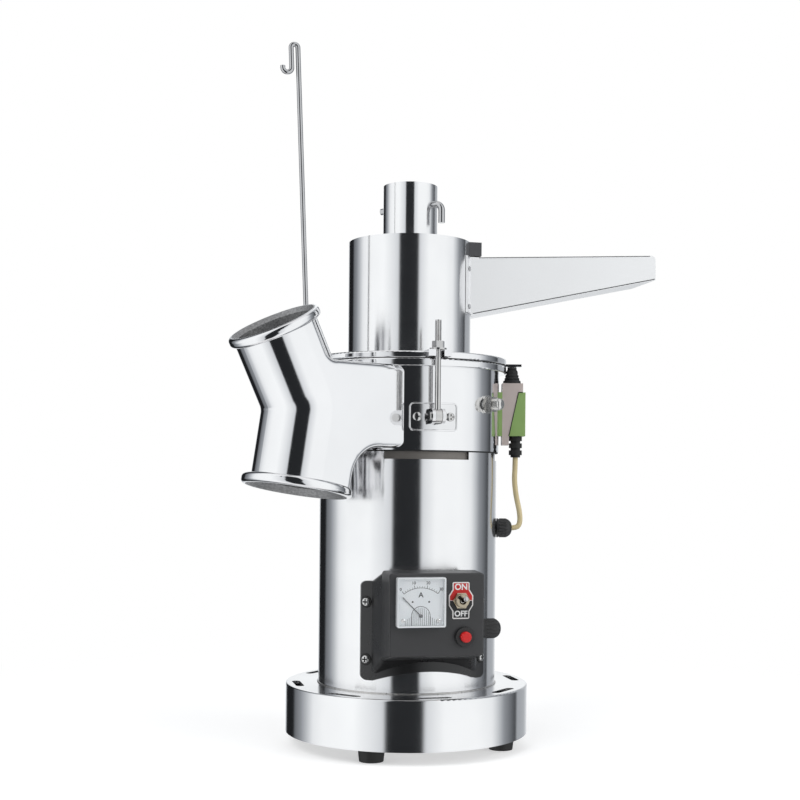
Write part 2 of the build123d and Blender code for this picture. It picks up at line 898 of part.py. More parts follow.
# Hood over the inlet, above the tray
hood_low = tray_top + tray_t
with BuildPart() as inlet_hood:
    with BuildSketch(level(hood_low)):
        with Locations(((cylinder_r + hood_l) / 2, 0)):
            Rectangle(cylinder_r + hood_l, tray_w - 2 * tray_t - 2 * loose)
    extrude(amount=cap_top - hood_low)
    with BuildSketch(level(hood_low)):
        with Locations(((cylinder_r + hood_l) / 2 - tray_t, 0)):
            Rectangle(cylinder_r + hood_l, tray_w - 4 * tray_t - 2 * loose)
    extrude(amount=cap_top - hood_low - tray_t, mode=Mode.SUBTRACT)
    with BuildSketch(level(hood_low)):
        Circle(cylinder_r + running)
    extrude(amount=cap_top - hood_low, mode=Mode.SUBTRACT)
save(inlet_hood, "inlet_hood")

# Hinge knuckle on the lid
hinge_up = mill_top + hinge_lift
hinge_plane = Plane(origin=(0, hinge_reach, hinge_up), x_dir=(0, 1, 0), z_dir=(1, 0, 0))
leaf_l = hinge_reach - flange_r + hinge_lap
with BuildPart() as lid_knuckle:
    with BuildSketch(hinge_plane):
        Circle(hinge_r)
        with Locations((-leaf_l / 2, lid_top + hinge_leaf_t / 2 - hinge_up)):
            Rectangle(leaf_l, hinge_leaf_t)
        Circle(hinge_pin_r + running, mode=Mode.SUBTRACT)
    extrude(amount=hinge_leaf_w / 2, both=True)
save(lid_knuckle, "lid_knuckle")

# Hinge knuckles on the mill flange, one each side of the lid's
base_leaf_h = flange_t - 2 * loose
with BuildPart() as hinge_base:
    with BuildSketch(hinge_plane):
        Circle(hinge_r)
        with Locations((-leaf_l / 2, mill_top - loose - base_leaf_h / 2 - hinge_up)):
            Rectangle(leaf_l, base_leaf_h)
        Circle(hinge_pin_r + running, mode=Mode.SUBTRACT)
    extrude(amount=hinge_w / 2, both=True)
    with BuildSketch(hinge_plane):
        Rectangle(4 * hinge_reach, 4 * hinge_reach)
    extrude(amount=hinge_leaf_w / 2 + loose, both=True, mode=Mode.SUBTRACT)
    with BuildSketch(level(mill_low)):
        Circle(flange_r + running)
    extrude(amount=mill_h, mode=Mode.SUBTRACT)
save(hinge_base, "hinge_base")

# Hinge pin with a head at each end
with BuildPart() as hinge_pin:
    with BuildSketch(hinge_plane):
        Circle(hinge_pin_r)
    extrude(amount=hinge_w / 2, both=True)
    for side in (-1, 1):
        with BuildSketch(hinge_plane.offset(side * hinge_w / 2)):
            Circle(hinge_head_r)
        extrude(amount=side * hinge_head_t)
save(hinge_pin, "hinge_pin")

# Latch bracket: a plate on the mill wall with two ears for the pin
latch_up = mill_low + latch_lift
latch_face = facing(latch_turn, 0, latch_up)
latch_side = Plane(
    origin=facing(latch_turn, latch_reach, latch_up).origin,
    x_dir=latch_face.z_dir,
    z_dir=-latch_face.x_dir,
)
ear_mid = eye_t / 2 + loose + latch_ear_t / 2
with BuildPart() as latch_bracket:
    with BuildSketch(latch_face):
        RectangleRounded(latch_plate_w, latch_plate_h, latch_corner_r)
    extrude(amount=flange_r)
    with BuildSketch(level(mill_low)):
        Circle(mill_r + latch_plate_t)
    extrude(amount=mill_h, mode=Mode.INTERSECT)
    for side in (-1, 1):
        with BuildSketch(latch_side.offset(side * ear_mid)):
            Circle(latch_ear_r)
            with Locations((-latch_ear_r, 0)):
                Rectangle(2 * latch_ear_r, 2 * latch_ear_r)
        extrude(amount=latch_ear_t / 2, both=True)
    with BuildSketch(latch_side):
        Circle(latch_pin_r + running)
    extrude(amount=latch_plate_w, both=True, mode=Mode.SUBTRACT)
    with BuildSketch(level(mill_low)):
        Circle(mill_r + running)
    extrude(amount=mill_h, mode=Mode.SUBTRACT)
save(latch_bracket, "latch_bracket")

# Screws that hold the latch bracket
screw_turn = degrees(asin(latch_screw_out / (mill_r + latch_plate_t)))
latch_screw_planes = [
    facing(latch_turn + side * screw_turn, mill_r + latch_plate_t, latch_up) for side in (-1, 1)
]
with BuildPart() as latch_screws:
    with BuildSketch(*latch_screw_planes):
        Circle(latch_screw_r)
    extrude(amount=latch_screw_t)
    head_edges = latch_screws.edges().filter_by(GeomType.CIRCLE).sort_by_distance((0, 0, latch_up))
    fillet(head_edges[-2:], latch_screw_t / 2)
save(latch_screws, "latch_screws")

# Latch pin with a head at each end
pin_half = ear_mid + latch_ear_t / 2
with BuildPart() as latch_pin:
    with BuildSketch(latch_side):
        Circle(latch_pin_r)
    extrude(amount=pin_half, both=True)
    for side in (-1, 1):
        with BuildSketch(latch_side.offset(side * pin_half)):
            Circle(latch_pin_head_r)
        extrude(amount=side * latch_pin_head_t)
save(latch_pin, "latch_pin")

# Swing bolt: an eye on the pin and a threaded rod up through the lid lug
bolt_foot = Plane(origin=latch_side.origin, z_dir=(0, 0, 1))
with BuildPart() as swing_bolt:
    with BuildSketch(latch_side):
        Circle(eye_r)
    extrude(amount=eye_t / 2, both=True)
    with BuildSketch(bolt_foot):
        Circle(bolt_r)
    extrude(amount=bolt_l)
    with BuildSketch(latch_side):
        Circle(latch_pin_r + running)
    extrude(amount=eye_t, both=True, mode=Mode.SUBTRACT)
save(swing_bolt, "swing_bolt")

# Latch nut with its washer
nut_seat = bolt_foot.offset(lid_top + loose - latch_up)
with BuildPart() as latch_nut:
    with BuildSketch(nut_seat):
        Circle(latch_washer_r)
        Circle(bolt_r + running, mode=Mode.SUBTRACT)
    extrude(amount=latch_washer_t)
    with BuildSketch(nut_seat.offset(latch_washer_t)):
        RegularPolygon(latch_nut_r, 6)
        Circle(bolt_r + running, mode=Mode.SUBTRACT)
    extrude(amount=latch_nut_t)
save(latch_nut, "latch_nut")

# Hook rod for the dust bag, bent over at the top into an open hook
rod_side_way = (-cos(radians(rod_lean)), 0, -sin(radians(rod_lean)))
rod_plane = Plane(origin=rod_foot, x_dir=rod_side_way, z_dir=(0, 1, 0))
hook_top = rod_l - rod_r
hook_low = rod_l - hook_drop
with BuildPart() as hook_rod:
    with BuildLine(rod_plane) as rod_line:
        FilletPolyline(
            (0, 0),
            (0, hook_top),
            (hook_gap, hook_top),
            (hook_gap, hook_low),
            (hook_gap + hook_out, hook_low),
            (hook_gap + hook_out, hook_low + hook_tip),
            radius=[hook_bend_r, hook_bend_r, hook_curl_r, hook_curl_r],
        )
    with BuildSketch(Plane(origin=rod_line.line @ 0, z_dir=rod_line.line % 0)):
        Circle(rod_r)
    sweep(path=rod_line.line)
save(hook_rod, "hook_rod")

# Seat of the control box on the motor tube
box_h = box_high - box_low
box_mid = box_low + box_h / 2
box_back = tube_r + box_gap
box_front = box_back + box_depth
box_gland_back = tube_r - box_gland_inset
seat_root = tube_r - seat_sink
seat_h = seat_high - seat_low
seat_mid = seat_low + seat_h / 2
gland_side = Plane(origin=(box_gland_in, -box_gland_back, box_gland_up), x_dir=(0, 1, 0), z_dir=(1, 0, 0))
with BuildPart() as seat_wings:
    with BuildSketch(facing(box_turn, 0, seat_mid)):
        RectangleRounded(2 * seat_half_w, seat_h, seat_corner_r)
    extrude(amount=box_front)
    with BuildSketch(level(seat_low)):
        Circle(tube_r + seat_t)
    extrude(amount=seat_h, mode=Mode.INTERSECT)
with BuildPart() as box_base:
    with BuildSketch(facing(box_turn, seat_root, seat_mid)):
        RectangleRounded(2 * seat_wing_w, seat_h, seat_corner_r)
    with BuildSketch(facing(box_turn, box_back, box_mid)):
        RectangleRounded(2 * box_half_w, box_h, seat_corner_r)
    loft()
    add(seat_wings.part)
    with BuildSketch(level(base_top)):
        Circle(tube_r + running)
    extrude(amount=tube_h, mode=Mode.SUBTRACT)
    with BuildSketch(gland_side):
        Circle(gland_neck_r + running)
    extrude(amount=seat_half_w, mode=Mode.SUBTRACT)
    with BuildSketch(gland_side.offset(box_gland_face - box_gland_in)):
        Circle(box_gland_r + running)
    extrude(amount=seat_half_w, mode=Mode.SUBTRACT)
    with BuildSketch(facing(box_turn, 0, seat_low + seat_arch_h - seat_arch_r)):
        Circle(seat_arch_r)
    extrude(amount=box_front, mode=Mode.SUBTRACT)
save(box_base, "box_base")


def panel(out, up, reach):
    """Plane on the control box's front, moved to one instrument."""
    middle = facing(box_turn, reach, up)
    return Plane(origin=middle.from_local_coords((out, 0, 0)), x_dir=middle.x_dir, z_dir=middle.z_dir)


meter_seat = panel(meter_out, meter_up, box_front)
toggle_seat = panel(toggle_out, toggle_up, box_front)
reset_seat = panel(reset_out, reset_up, box_front)

# Cover of the control box, open at the back, with holes for the instruments
with BuildPart() as box_cover:
    with BuildSketch(facing(box_turn, box_back, box_mid)):
        RectangleRounded(2 * box_half_w, box_h, box_edge_r)
    with BuildSketch(facing(box_turn, box_front, box_mid + (box_sill - box_draft) / 2)):
        RectangleRounded(2 * (box_half_w - box_draft), box_h - box_sill - box_draft, box_edge_r)
    loft()
    front_face = box_cover.faces().sort_by(Axis.Y)[0]
    fillet(front_face.edges(), box_edge_r / 2)
    with BuildSketch(facing(box_turn, box_back, box_mid + (box_sill - box_draft) / 2)):
        Rectangle(2 * (box_half_w - box_draft - box_wall), box_h - box_sill - box_draft - 2 * box_wall)
    extrude(amount=box_depth - box_wall, mode=Mode.SUBTRACT)
    holes = (
        (meter_seat, meter_back_r),
        (toggle_seat, toggle_bush_r),
        (reset_seat, reset_body_r),
    )
    for seat, hole_r in holes:
        with BuildSketch(seat):
            Circle(hole_r + running)
        extrude(amount=-box_wall - overrun / 2, mode=Mode.SUBTRACT)
save(box_cover, "box_cover")

# Screws through the wings of the control box's seat
wing_turn = degrees(asin(box_screw_out / (tube_r + seat_t)))
box_screw_planes = [
    facing(box_turn + side * wing_turn, tube_r + seat_t, seat_mid + rise * box_screw_rise)
    for side in (-1, 1)
    for rise in (-1, 1)
]
with BuildPart() as box_screws:
    with BuildSketch(*box_screw_planes):
        Circle(box_screw_r)
    extrude(amount=box_screw_t)
save(box_screws, "box_screws")

# Ammeter case with a round back through the panel
with BuildPart() as meter_case:
    with BuildSketch(meter_seat):
        RectangleRounded(meter_w, meter_h, meter_edge_r)
    extrude(amount=meter_t)
    with BuildSketch(meter_seat):
        Circle(meter_back_r)
    extrude(amount=-meter_back_l)
    with BuildSketch(meter_seat.offset(meter_floor_t)):
        Rectangle(meter_w - 2 * meter_wall, meter_h - 2 * meter_wall)
    extrude(amount=meter_t, mode=Mode.SUBTRACT)
save(meter_case, "meter_case")

# Ammeter dial
dial_w = meter_w - 2 * (meter_wall + running)
dial_h = meter_h - 2 * (meter_wall + running)
with BuildPart() as meter_dial:
    with BuildSketch(meter_seat.offset(meter_floor_t)):
        Rectangle(dial_w, dial_h)
    extrude(amount=dial_t)
save(meter_dial, "meter_dial")

# Ammeter window
with BuildPart() as meter_lens:
    with BuildSketch(meter_seat.offset(meter_t)):
        Rectangle(dial_w, dial_h)
    extrude(amount=-lens_t)
save(meter_lens, "meter_lens")

# Ammeter needle on its hub, resting at the left end of the scale
needle_seat = panel(meter_out, meter_up - needle_drop, box_front + meter_floor_t + dial_t + running)
needle_way = Vector(-sin(radians(needle_rest)), cos(radians(needle_rest)))
with BuildPart() as meter_needle:
    with BuildSketch(needle_seat):
        Circle(needle_hub_r)
    extrude(amount=needle_gap + needle_t)
    with BuildSketch(needle_seat.offset(needle_gap)):
        with Locations(needle_way * (needle_l / 2)):
            Rectangle(needle_w, needle_l, rotation=needle_rest)
    extrude(amount=needle_t)
save(meter_needle, "meter_needle")

# Toggle switch body with its threaded bush and nut
lever_pivot = toggle_seat.offset(toggle_bush_l - toggle_ball_r)
bush_depth = 2 * toggle_ball_r + loose
with BuildPart() as toggle_body:
    with BuildSketch(toggle_seat.offset(-box_wall)):
        Rectangle(toggle_body_w, toggle_body_h)
    extrude(amount=-toggle_body_l)
    with BuildSketch(toggle_seat.offset(-box_wall)):
        Circle(toggle_bush_r)
    extrude(amount=box_wall + toggle_bush_l)
    with BuildSketch(toggle_seat.offset(sign_t)):
        RegularPolygon(toggle_nut_r, 6)
    extrude(amount=toggle_nut_t)
    with BuildSketch(toggle_seat.offset(toggle_bush_l)):
        Circle(toggle_ball_r + loose)
    extrude(amount=-bush_depth, mode=Mode.SUBTRACT)
save(toggle_body, "toggle_body")

# Sign plate under the toggle nut
with BuildPart() as toggle_plate:
    with BuildSketch(toggle_seat):
        RectangleRounded(sign_neck_w, sign_h, box_edge_r / 2)
        Polygon(
            (-sign_neck_w / 2, sign_step_h),
            (sign_neck_w / 2, sign_step_h),
            (sign_w / 2, sign_flat_h),
            (sign_w / 2, -sign_flat_h),
            (sign_neck_w / 2, -sign_step_h),
            (-sign_neck_w / 2, -sign_step_h),
            (-sign_w / 2, -sign_flat_h),
            (-sign_w / 2, sign_flat_h),
            align=None,
        )
        Circle(toggle_bush_r + running, mode=Mode.SUBTRACT)
    extrude(amount=sign_t)
save(toggle_plate, "toggle_plate")

# Toggle lever, leaning up at rest
lean = radians(toggle_lean)
lever_way = toggle_seat.z_dir * cos(lean) + Vector(0, 0, sin(lean))
lever_foot = Plane(origin=lever_pivot.origin, x_dir=toggle_seat.x_dir, z_dir=lever_way)
with BuildPart() as toggle_lever:
    with BuildSketch(lever_foot):
        Circle(toggle_lever_r)
    with BuildSketch(lever_foot.offset(toggle_lever_l)):
        Circle(toggle_tip_r)
    loft()
    tip_edge = toggle_lever.edges().filter_by(GeomType.CIRCLE).sort_by_distance(lever_pivot.origin)[-1]
    fillet(tip_edge, toggle_tip_r / 2)
    with Locations(lever_pivot.origin):
        Sphere(toggle_ball_r)
save(toggle_lever, "toggle_lever")

# Overload breaker: a collar on the panel and a body behind it
with BuildPart() as breaker_body:
    with BuildSketch(reset_seat):
        Circle(reset_collar_r)
    extrude(amount=reset_collar_t)
    with BuildSketch(reset_seat):
        Circle(reset_body_r)
    extrude(amount=-reset_body_l)
    with BuildSketch(reset_seat.offset(reset_collar_t)):
        Circle(reset_cap_r + 2 * running)
    extrude(amount=reset_proud - reset_cap_l - reset_travel - loose, mode=Mode.SUBTRACT)
save(breaker_body, "breaker_body")

# Reset button in the breaker's collar
with BuildPart() as reset_button:
    with BuildSketch(reset_seat.offset(reset_collar_t + reset_proud)):
        Circle(reset_cap_r)
    extrude(amount=-reset_cap_l)
    fillet(reset_button.edges().sort_by(Axis.Y)[0], reset_cap_r / 4)
save(reset_button, "reset_button")

# Gland on the side of the control box
with BuildPart() as box_gland:
    with BuildSketch(gland_side):
        Circle(gland_neck_r)
    extrude(amount=box_gland_face - box_gland_in)
    with BuildSketch(gland_side.offset(box_gland_face - box_gland_in)):
        Circle(box_gland_r)
    extrude(amount=box_gland_l)
    fillet(box_gland.edges().sort_by(Axis.X)[-1], gland_edge_r)
    with BuildSketch(gland_side.offset(box_gland_face - box_gland_in + box_gland_l)):
        Circle(cord_r + running)
    extrude(amount=-gland_depth, mode=Mode.SUBTRACT)
save(box_gland, "box_gland")

# Gland on the motor tube
gland_seat = facing(gland_turn, tube_r + gland_gap, gland_up)
with BuildPart() as motor_gland:
    with BuildSketch(gland_seat):
        Circle(gland_neck_r)
    extrude(amount=-gland_gap - tube_wall)
    with BuildSketch(gland_seat):
        Circle(gland_r)
    extrude(amount=gland_l)
    gland_edges = motor_gland.edges().filter_by(GeomType.CIRCLE).sort_by_distance((0, 0, gland_up))
    fillet(gland_edges[-1], gland_edge_r)
    with BuildSketch(gland_seat.offset(gland_l)):
        Circle(cord_r + running)
    extrude(amount=-gland_depth, mode=Mode.SUBTRACT)
save(motor_gland, "motor_gland")

# Safety switch body, in the upright plane through its turn: x is the reach and y the height
switch_face = facing(switch_turn, 0, 0)
switch_plane = Plane(origin=(0, 0, 0), x_dir=switch_face.z_dir, z_dir=-switch_face.x_dir)
switch_in = mill_r + shell_t
switch_top = mill_top - switch_drop
switch_low = switch_top - switch_h
shell_foot = switch_low + shell_low
shell_top = shell_foot + shell_h
with BuildPart() as switch_body:
    with BuildSketch(switch_plane):
        with BuildLine():
            Polyline(
                (switch_in, switch_low),
                (switch_in + switch_foot_d, switch_low),
                (switch_in + switch_foot_d, shell_foot),
                (switch_in + switch_d - switch_lip, shell_top),
                (switch_in + switch_d, shell_top),
                (switch_in + switch_d, switch_top),
                (switch_in, switch_top),
                close=True,
            )
        make_face()
    extrude(amount=switch_w / 2, both=True)
save(switch_body, "switch_body")

# Shells in front of and behind the switch body
with BuildPart() as switch_covers:
    with BuildSketch(switch_plane):
        with BuildLine():
            Polyline(
                (switch_in + switch_foot_d + running, shell_foot),
                (switch_in + shell_d, shell_foot),
                (switch_in + shell_d, shell_top - running),
                (switch_in + switch_d - switch_lip + running, shell_top - running),
                close=True,
            )
        make_face()
        with Locations((switch_in - shell_t, shell_foot + shell_h / 2)):
            Rectangle(2 * shell_t, shell_h)
    extrude(amount=switch_w / 2, both=True)
    with BuildSketch(level(mill_low)):
        Circle(mill_r + running)
    extrude(amount=mill_h, mode=Mode.SUBTRACT)
save(switch_covers, "switch_covers")

# Rubber boot round the plunger
boot_axis = switch_plane.from_local_coords(Vector(switch_in + boot_out, switch_top, 0))
boot_seat = Plane(origin=boot_axis, z_dir=(0, 0, 1))
with BuildPart() as switch_boot:
    with BuildSketch(boot_seat):
        Circle(boot_rim_r)
    extrude(amount=boot_rim_h)
    with BuildSketch(boot_seat.offset(boot_rim_h)):
        Circle((boot_rim_r + boot_r) / 2)
    with BuildSketch(boot_seat.offset(boot_h)):
        Circle(boot_r)
    loft()
    with BuildSketch(boot_seat):
        Circle(plunger_r + running)
    extrude(amount=boot_h, mode=Mode.SUBTRACT)
save(switch_boot, "switch_boot")

# Switch plunger, just under the lid's tab
plunger_top = mill_top - loose
plunger_seat = boot_seat.offset(plunger_top - switch_top)
with BuildPart() as switch_plunger:
    with BuildSketch(plunger_seat):
        Circle(plunger_cap_r)
    extrude(amount=-plunger_cap_h)
    with BuildSketch(boot_seat.offset(plunger_travel + loose)):
        Circle(plunger_r)
    extrude(amount=plunger_top - plunger_cap_h - switch_top - plunger_travel - loose)
save(switch_plunger, "switch_plunger")

# Ribbed strain relief under the switch
relief_axis = switch_plane.from_local_coords(Vector(switch_in + relief_out, shell_foot, 0))
relief_seat = Plane(origin=relief_axis, z_dir=(0, 0, 1))
ring_pitch = relief_h / relief_rings
with BuildPart() as switch_relief:
    with BuildSketch(relief_seat):
        Circle(relief_waist_r)
    extrude(amount=-relief_h)
    for ring in range(relief_rings):
        with BuildSketch(relief_seat.offset(-ring * ring_pitch)):
            Circle(relief_r)
        extrude(amount=-ring_pitch * 2 / 3)
    with BuildSketch(relief_seat.offset(-relief_h)):
        Circle(cord_r + running)
    extrude(amount=relief_h - gland_depth / 2, mode=Mode.SUBTRACT)
save(switch_relief, "switch_relief")

# Switch cord from the motor gland up to the strain relief
cord_spots = [Vector(reach, height) for reach, height in cord_route]
cord_radii = []
for before, at, after in zip(cord_spots, cord_spots[1:], cord_spots[2:]):
    run_in = at - before
    run_out = after - at
    turn = radians(run_in.get_angle(run_out))
    cord_radii.append(cord_bend_share * min(run_in.length, run_out.length) / tan(turn / 2))
with BuildPart() as switch_cord:
    with BuildLine(switch_plane) as cord_line:
        FilletPolyline(*cord_route, radius=cord_radii)
    with BuildSketch(Plane(origin=cord_line.line @ 0, z_dir=cord_line.line % 0)):
        Circle(cord_r)
    sweep(path=cord_line.line)
save(switch_cord, "switch_cord")

print("cord bend radii:", [round(r, 1) for r in cord_radii])
cord_length = sum(edge.length for edge in cord_line.edges())
cord_fill = switch_cord.part.volume / (pi * cord_r**2 * cord_length)
print("cord volume against section times length:", round(cord_fill, 4))
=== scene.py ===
# %% [markdown]
# # Electric spice grinder: the looks
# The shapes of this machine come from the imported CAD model, which is loaded first and never moved.
# Everything below adds what CAD doesn't hold: the camera, the studio, the finishes and the small
# details such as threads, rivets and the printed dial. The frame is the CAD's: the origin is on the
# table under the motor axis, +Z is up and -Y is the front. Blender counts in metres, and MM turns
# the millimetres of the small pieces into them.

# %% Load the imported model
import json
from math import asin, cos, degrees, pi, radians, sin, sqrt

import bmesh
import bpy
from mathutils import Matrix, Vector
from mathutils.geometry import tessellate_polygon


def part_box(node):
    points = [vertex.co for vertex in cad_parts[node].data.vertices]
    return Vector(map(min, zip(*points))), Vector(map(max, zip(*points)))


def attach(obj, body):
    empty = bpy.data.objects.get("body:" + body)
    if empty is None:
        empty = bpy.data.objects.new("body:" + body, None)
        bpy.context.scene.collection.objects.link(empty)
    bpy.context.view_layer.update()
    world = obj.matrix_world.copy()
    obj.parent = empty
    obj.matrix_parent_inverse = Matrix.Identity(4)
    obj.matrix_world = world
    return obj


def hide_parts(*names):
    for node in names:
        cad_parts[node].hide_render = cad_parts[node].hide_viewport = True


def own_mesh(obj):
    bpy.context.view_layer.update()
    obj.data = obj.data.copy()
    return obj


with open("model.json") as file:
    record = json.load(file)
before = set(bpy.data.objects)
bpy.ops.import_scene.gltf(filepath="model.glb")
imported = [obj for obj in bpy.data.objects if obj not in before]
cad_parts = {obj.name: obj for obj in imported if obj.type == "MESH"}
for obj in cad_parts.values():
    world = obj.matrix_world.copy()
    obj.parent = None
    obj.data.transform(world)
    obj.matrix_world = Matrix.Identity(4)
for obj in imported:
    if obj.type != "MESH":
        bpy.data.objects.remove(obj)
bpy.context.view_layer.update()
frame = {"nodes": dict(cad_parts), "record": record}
nodes = frame["nodes"]
MM = 0.001
UP = Vector((0, 0, 1))

# %% [markdown]
# ## The camera
# The photograph was taken from a little to the left of the front, almost level with the outlet. A
# camera could be tilted down until the picture looks right, but then upright edges lean. A level
# camera with a lens shift keeps them upright, which is how product pictures are taken, so the view
# is set by a turn, a distance, a height, two shifts and a very small roll.

# %% Photo camera
frame_pixels = 800
focal_pixels = 1314
axis_pixel = 408
horizon_pixel = 483
view_turn = -13.0
view_distance = 1.314
view_height = 0.2585
view_roll = 0.5


def outwards(turn):
    """Level direction away from the motor axis, counted from the front, positive towards +X."""
    return Vector((sin(radians(turn)), -cos(radians(turn)), 0))


camera_data = bpy.data.cameras.new("photo_camera")
camera_data.sensor_width = 36.0
camera_data.lens = camera_data.sensor_width * focal_pixels / frame_pixels
camera_data.shift_x = (frame_pixels / 2 - axis_pixel) / frame_pixels
camera_data.shift_y = (horizon_pixel - frame_pixels / 2) / frame_pixels
camera_data.clip_end = 30.0
camera = bpy.data.objects.new("photo_camera", camera_data)
bpy.context.scene.collection.objects.link(camera)
camera.location = outwards(view_turn) * view_distance + UP * view_height
aim = (-outwards(view_turn)).to_track_quat("-Z", "Y").to_matrix().to_4x4()
aim = aim @ Matrix.Rotation(radians(view_roll), 4, "Z")
camera.rotation_euler = aim.to_euler()
bpy.context.scene.camera = camera
bpy.context.scene.view_settings.view_transform = "Standard"
print("lens", round(camera_data.lens, 1), "mm at", tuple(round(v, 3) for v in camera.location))

# %% [markdown]
# ## Node helpers
# Worlds and materials are trees of small nodes. They could be wired by hand in the editor, but a
# script can be read, repeated and changed. Each helper adds a node and links or sets its inputs.

# %% Node helpers


def node_in(tree, kind, **settings):
    """Add one node and set its plain properties."""
    node = tree.nodes.new(kind)
    for key, value in settings.items():
        setattr(node, key, value)
    return node


def feed(tree, socket, value):
    """Link a socket to another one, or set it to a plain value."""
    if isinstance(value, bpy.types.NodeSocket):
        tree.links.new(value, socket)
    else:
        socket.default_value = value


def fill_in(tree, node, values):
    """Feed a node's inputs by name or number."""
    for label, value in values.items():
        feed(tree, node.inputs[label], value)


def math_in(tree, operation, *values, clamp=False):
    """Add a Math node."""
    node = node_in(tree, "ShaderNodeMath", operation=operation, use_clamp=clamp)
    fill_in(tree, node, dict(enumerate(values)))
    return node.outputs[0]


def vector_in(tree, operation, *values):
    """Add a Vector Math node and return its outputs."""
    node = node_in(tree, "ShaderNodeVectorMath", operation=operation)
    fill_in(tree, node, dict(enumerate(values)))
    return node.outputs


def dot_in(tree, vector, direction):
    """Add a dot product of a vector with a direction."""
    return vector_in(tree, "DOT_PRODUCT", vector, direction)["Value"]


def ease_in(tree, value, start, full):
    """Add a smooth rise from zero at the start to one where it is full."""
    node = node_in(tree, "ShaderNodeMapRange", interpolation_type="SMOOTHSTEP")
    fill_in(tree, node, {"Value": value, "From Min": start, "From Max": full})
    return node.outputs["Result"]


def mix_in(tree, kind, factor, first, second):
    """Mix two colours (RGBA) or two numbers (FLOAT) by a factor."""
    node = node_in(tree, "ShaderNodeMix", data_type=kind)
    fill_in(tree, node, {"Factor": factor, "A": first, "B": second})
    return node.outputs["Result"]


def seen_directly(tree):
    """One for rays from the camera and for rays that pass through something clear."""
    paths = node_in(tree, "ShaderNodeLightPath")
    return math_in(tree, "MAXIMUM", paths.outputs["Is Camera Ray"], paths.outputs["Is Transmission Ray"])


def spot_in(tree):
    """Place of a point on its piece, in metres."""
    return node_in(tree, "ShaderNodeTexCoord").outputs["Object"]


print("node helpers ready")

# %% [markdown]
# ## The studio
# Polished metal shows its surroundings more than itself. In the photograph each upright cylinder
# has a black stripe in the middle, wide white panels beside it and grey edges: a white studio with
# a dark gap round the camera. The panels could be built as glowing boards, but then each would have
# its own edge and height. Here the world is painted by direction alone, so a cylinder picks up the
# stripes by reflection, from any side. The darker a panel is, the cooler it is. The camera, and
# what is seen through the clear window, get plain white. Metal gets the panels with their gaps: a
# plain white room would leave steel without the stripes that tell the eye it is polished.

# %% World with light panels and dark gaps
panel_levels = (
    (-180, 1.00), (-168, 0.75), (-161, 0.45), (-158, 0.015), (-133, 0.015), (-130, 0.16), (-118, 0.30),
    (-108, 0.55), (-97, 0.90), (-84, 1.00), (-50, 1.04), (-32, 0.86), (-21, 0.72), (-18, 0.022),
    (15, 0.025), (18, 0.74), (36, 1.00), (70, 1.00), (88, 0.92), (98, 0.58), (105, 0.32), (116, 0.18),
    (124, 0.08), (127, 0.035), (128.5, 0.40), (150, 0.46), (165, 0.75), (180, 1.00),
)
panel_strength = 1.08
overhead_tone = (0.85, 0.85, 0.86, 1)
overhead_start, overhead_full = 0.80, 0.97


def panel_colour(level):
    """Grey of a panel, a little cooler the darker it is."""
    shade = 1 - min(level, 1)
    return level * (0.975 - 0.13 * shade), level * (0.993 - 0.085 * shade), level, 1


world = bpy.data.worlds.new("studio")
bpy.context.scene.world = world
world.use_nodes = True
tree = world.node_tree
tree.nodes.clear()
ray = node_in(tree, "ShaderNodeTexCoord").outputs["Generated"]
across = dot_in(tree, ray, outwards(view_turn + 90))
along = dot_in(tree, ray, outwards(view_turn))
angle = math_in(tree, "ARCTAN2", across, along)
panels = node_in(tree, "ShaderNodeValToRGB")
tree.links.new(math_in(tree, "MULTIPLY_ADD", angle, 1 / (2 * pi), 0.5), panels.inputs[0])
stops = panels.color_ramp.elements
for number, (degree, level) in enumerate(panel_levels):
    place = (degree + 180) / 360
    stop = stops[number] if number < 2 else stops.new(place)
    stop.position = place
    stop.color = panel_colour(level)
steepness = math_in(tree, "ABSOLUTE", dot_in(tree, ray, UP))
overhead = ease_in(tree, steepness, overhead_start, overhead_full)
studio = node_in(tree, "ShaderNodeBackground")
tone = mix_in(tree, "RGBA", overhead, panels.outputs["Color"], overhead_tone)
fill_in(tree, studio, {"Color": tone, "Strength": panel_strength})
white = node_in(tree, "ShaderNodeBackground")
white.inputs["Color"].default_value = (1, 1, 1, 1)
choose = node_in(tree, "ShaderNodeMixShader")
fill_in(tree, choose, {"Fac": seen_directly(tree), 1: studio.outputs[0], 2: white.outputs[0]})
tree.links.new(choose.outputs[0], node_in(tree, "ShaderNodeOutputWorld").inputs["Surface"])
print("world has", len(panel_levels), "panel stops")

# %% [markdown]
# ## The floor
# The machine stands on plain white paper. A diffuse floor alone would never reach the pure white of
# the background. So near the machine a part of its brightness is a glow for the camera and the rest
# is real light, which keeps the soft shadow. Further away the glow takes over, without a line.

# %% White paper floor
floor_reach = 6.0
floor_drop = 0.0003
paper_tone = 0.72
near_glow = 0.42
fade_start, fade_full = 0.20, 0.75
floor_mesh = bpy.data.meshes.new("floor")
corners = [(x * floor_reach, y * floor_reach, 0) for x, y in ((-1, -1), (1, -1), (1, 1), (-1, 1))]
floor_mesh.from_pydata(corners, [], [(0, 1, 2, 3)])
floor = bpy.data.objects.new("floor", floor_mesh)
bpy.context.scene.collection.objects.link(floor)
floor.location.z = -floor_drop
floor.visible_glossy = False
paper = bpy.data.materials.new("floor_paper")
paper.use_nodes = True
tree = paper.node_tree
tree.nodes.clear()
away = vector_in(tree, "LENGTH", spot_in(tree))["Value"]
far = ease_in(tree, away, fade_start, fade_full)
matte = node_in(tree, "ShaderNodeBsdfDiffuse")
tone = mix_in(tree, "RGBA", far, (paper_tone, paper_tone, paper_tone, 1), (0, 0, 0, 1))
tree.links.new(tone, matte.inputs["Color"])
strength = math_in(tree, "MULTIPLY_ADD", far, 1 - near_glow, near_glow)
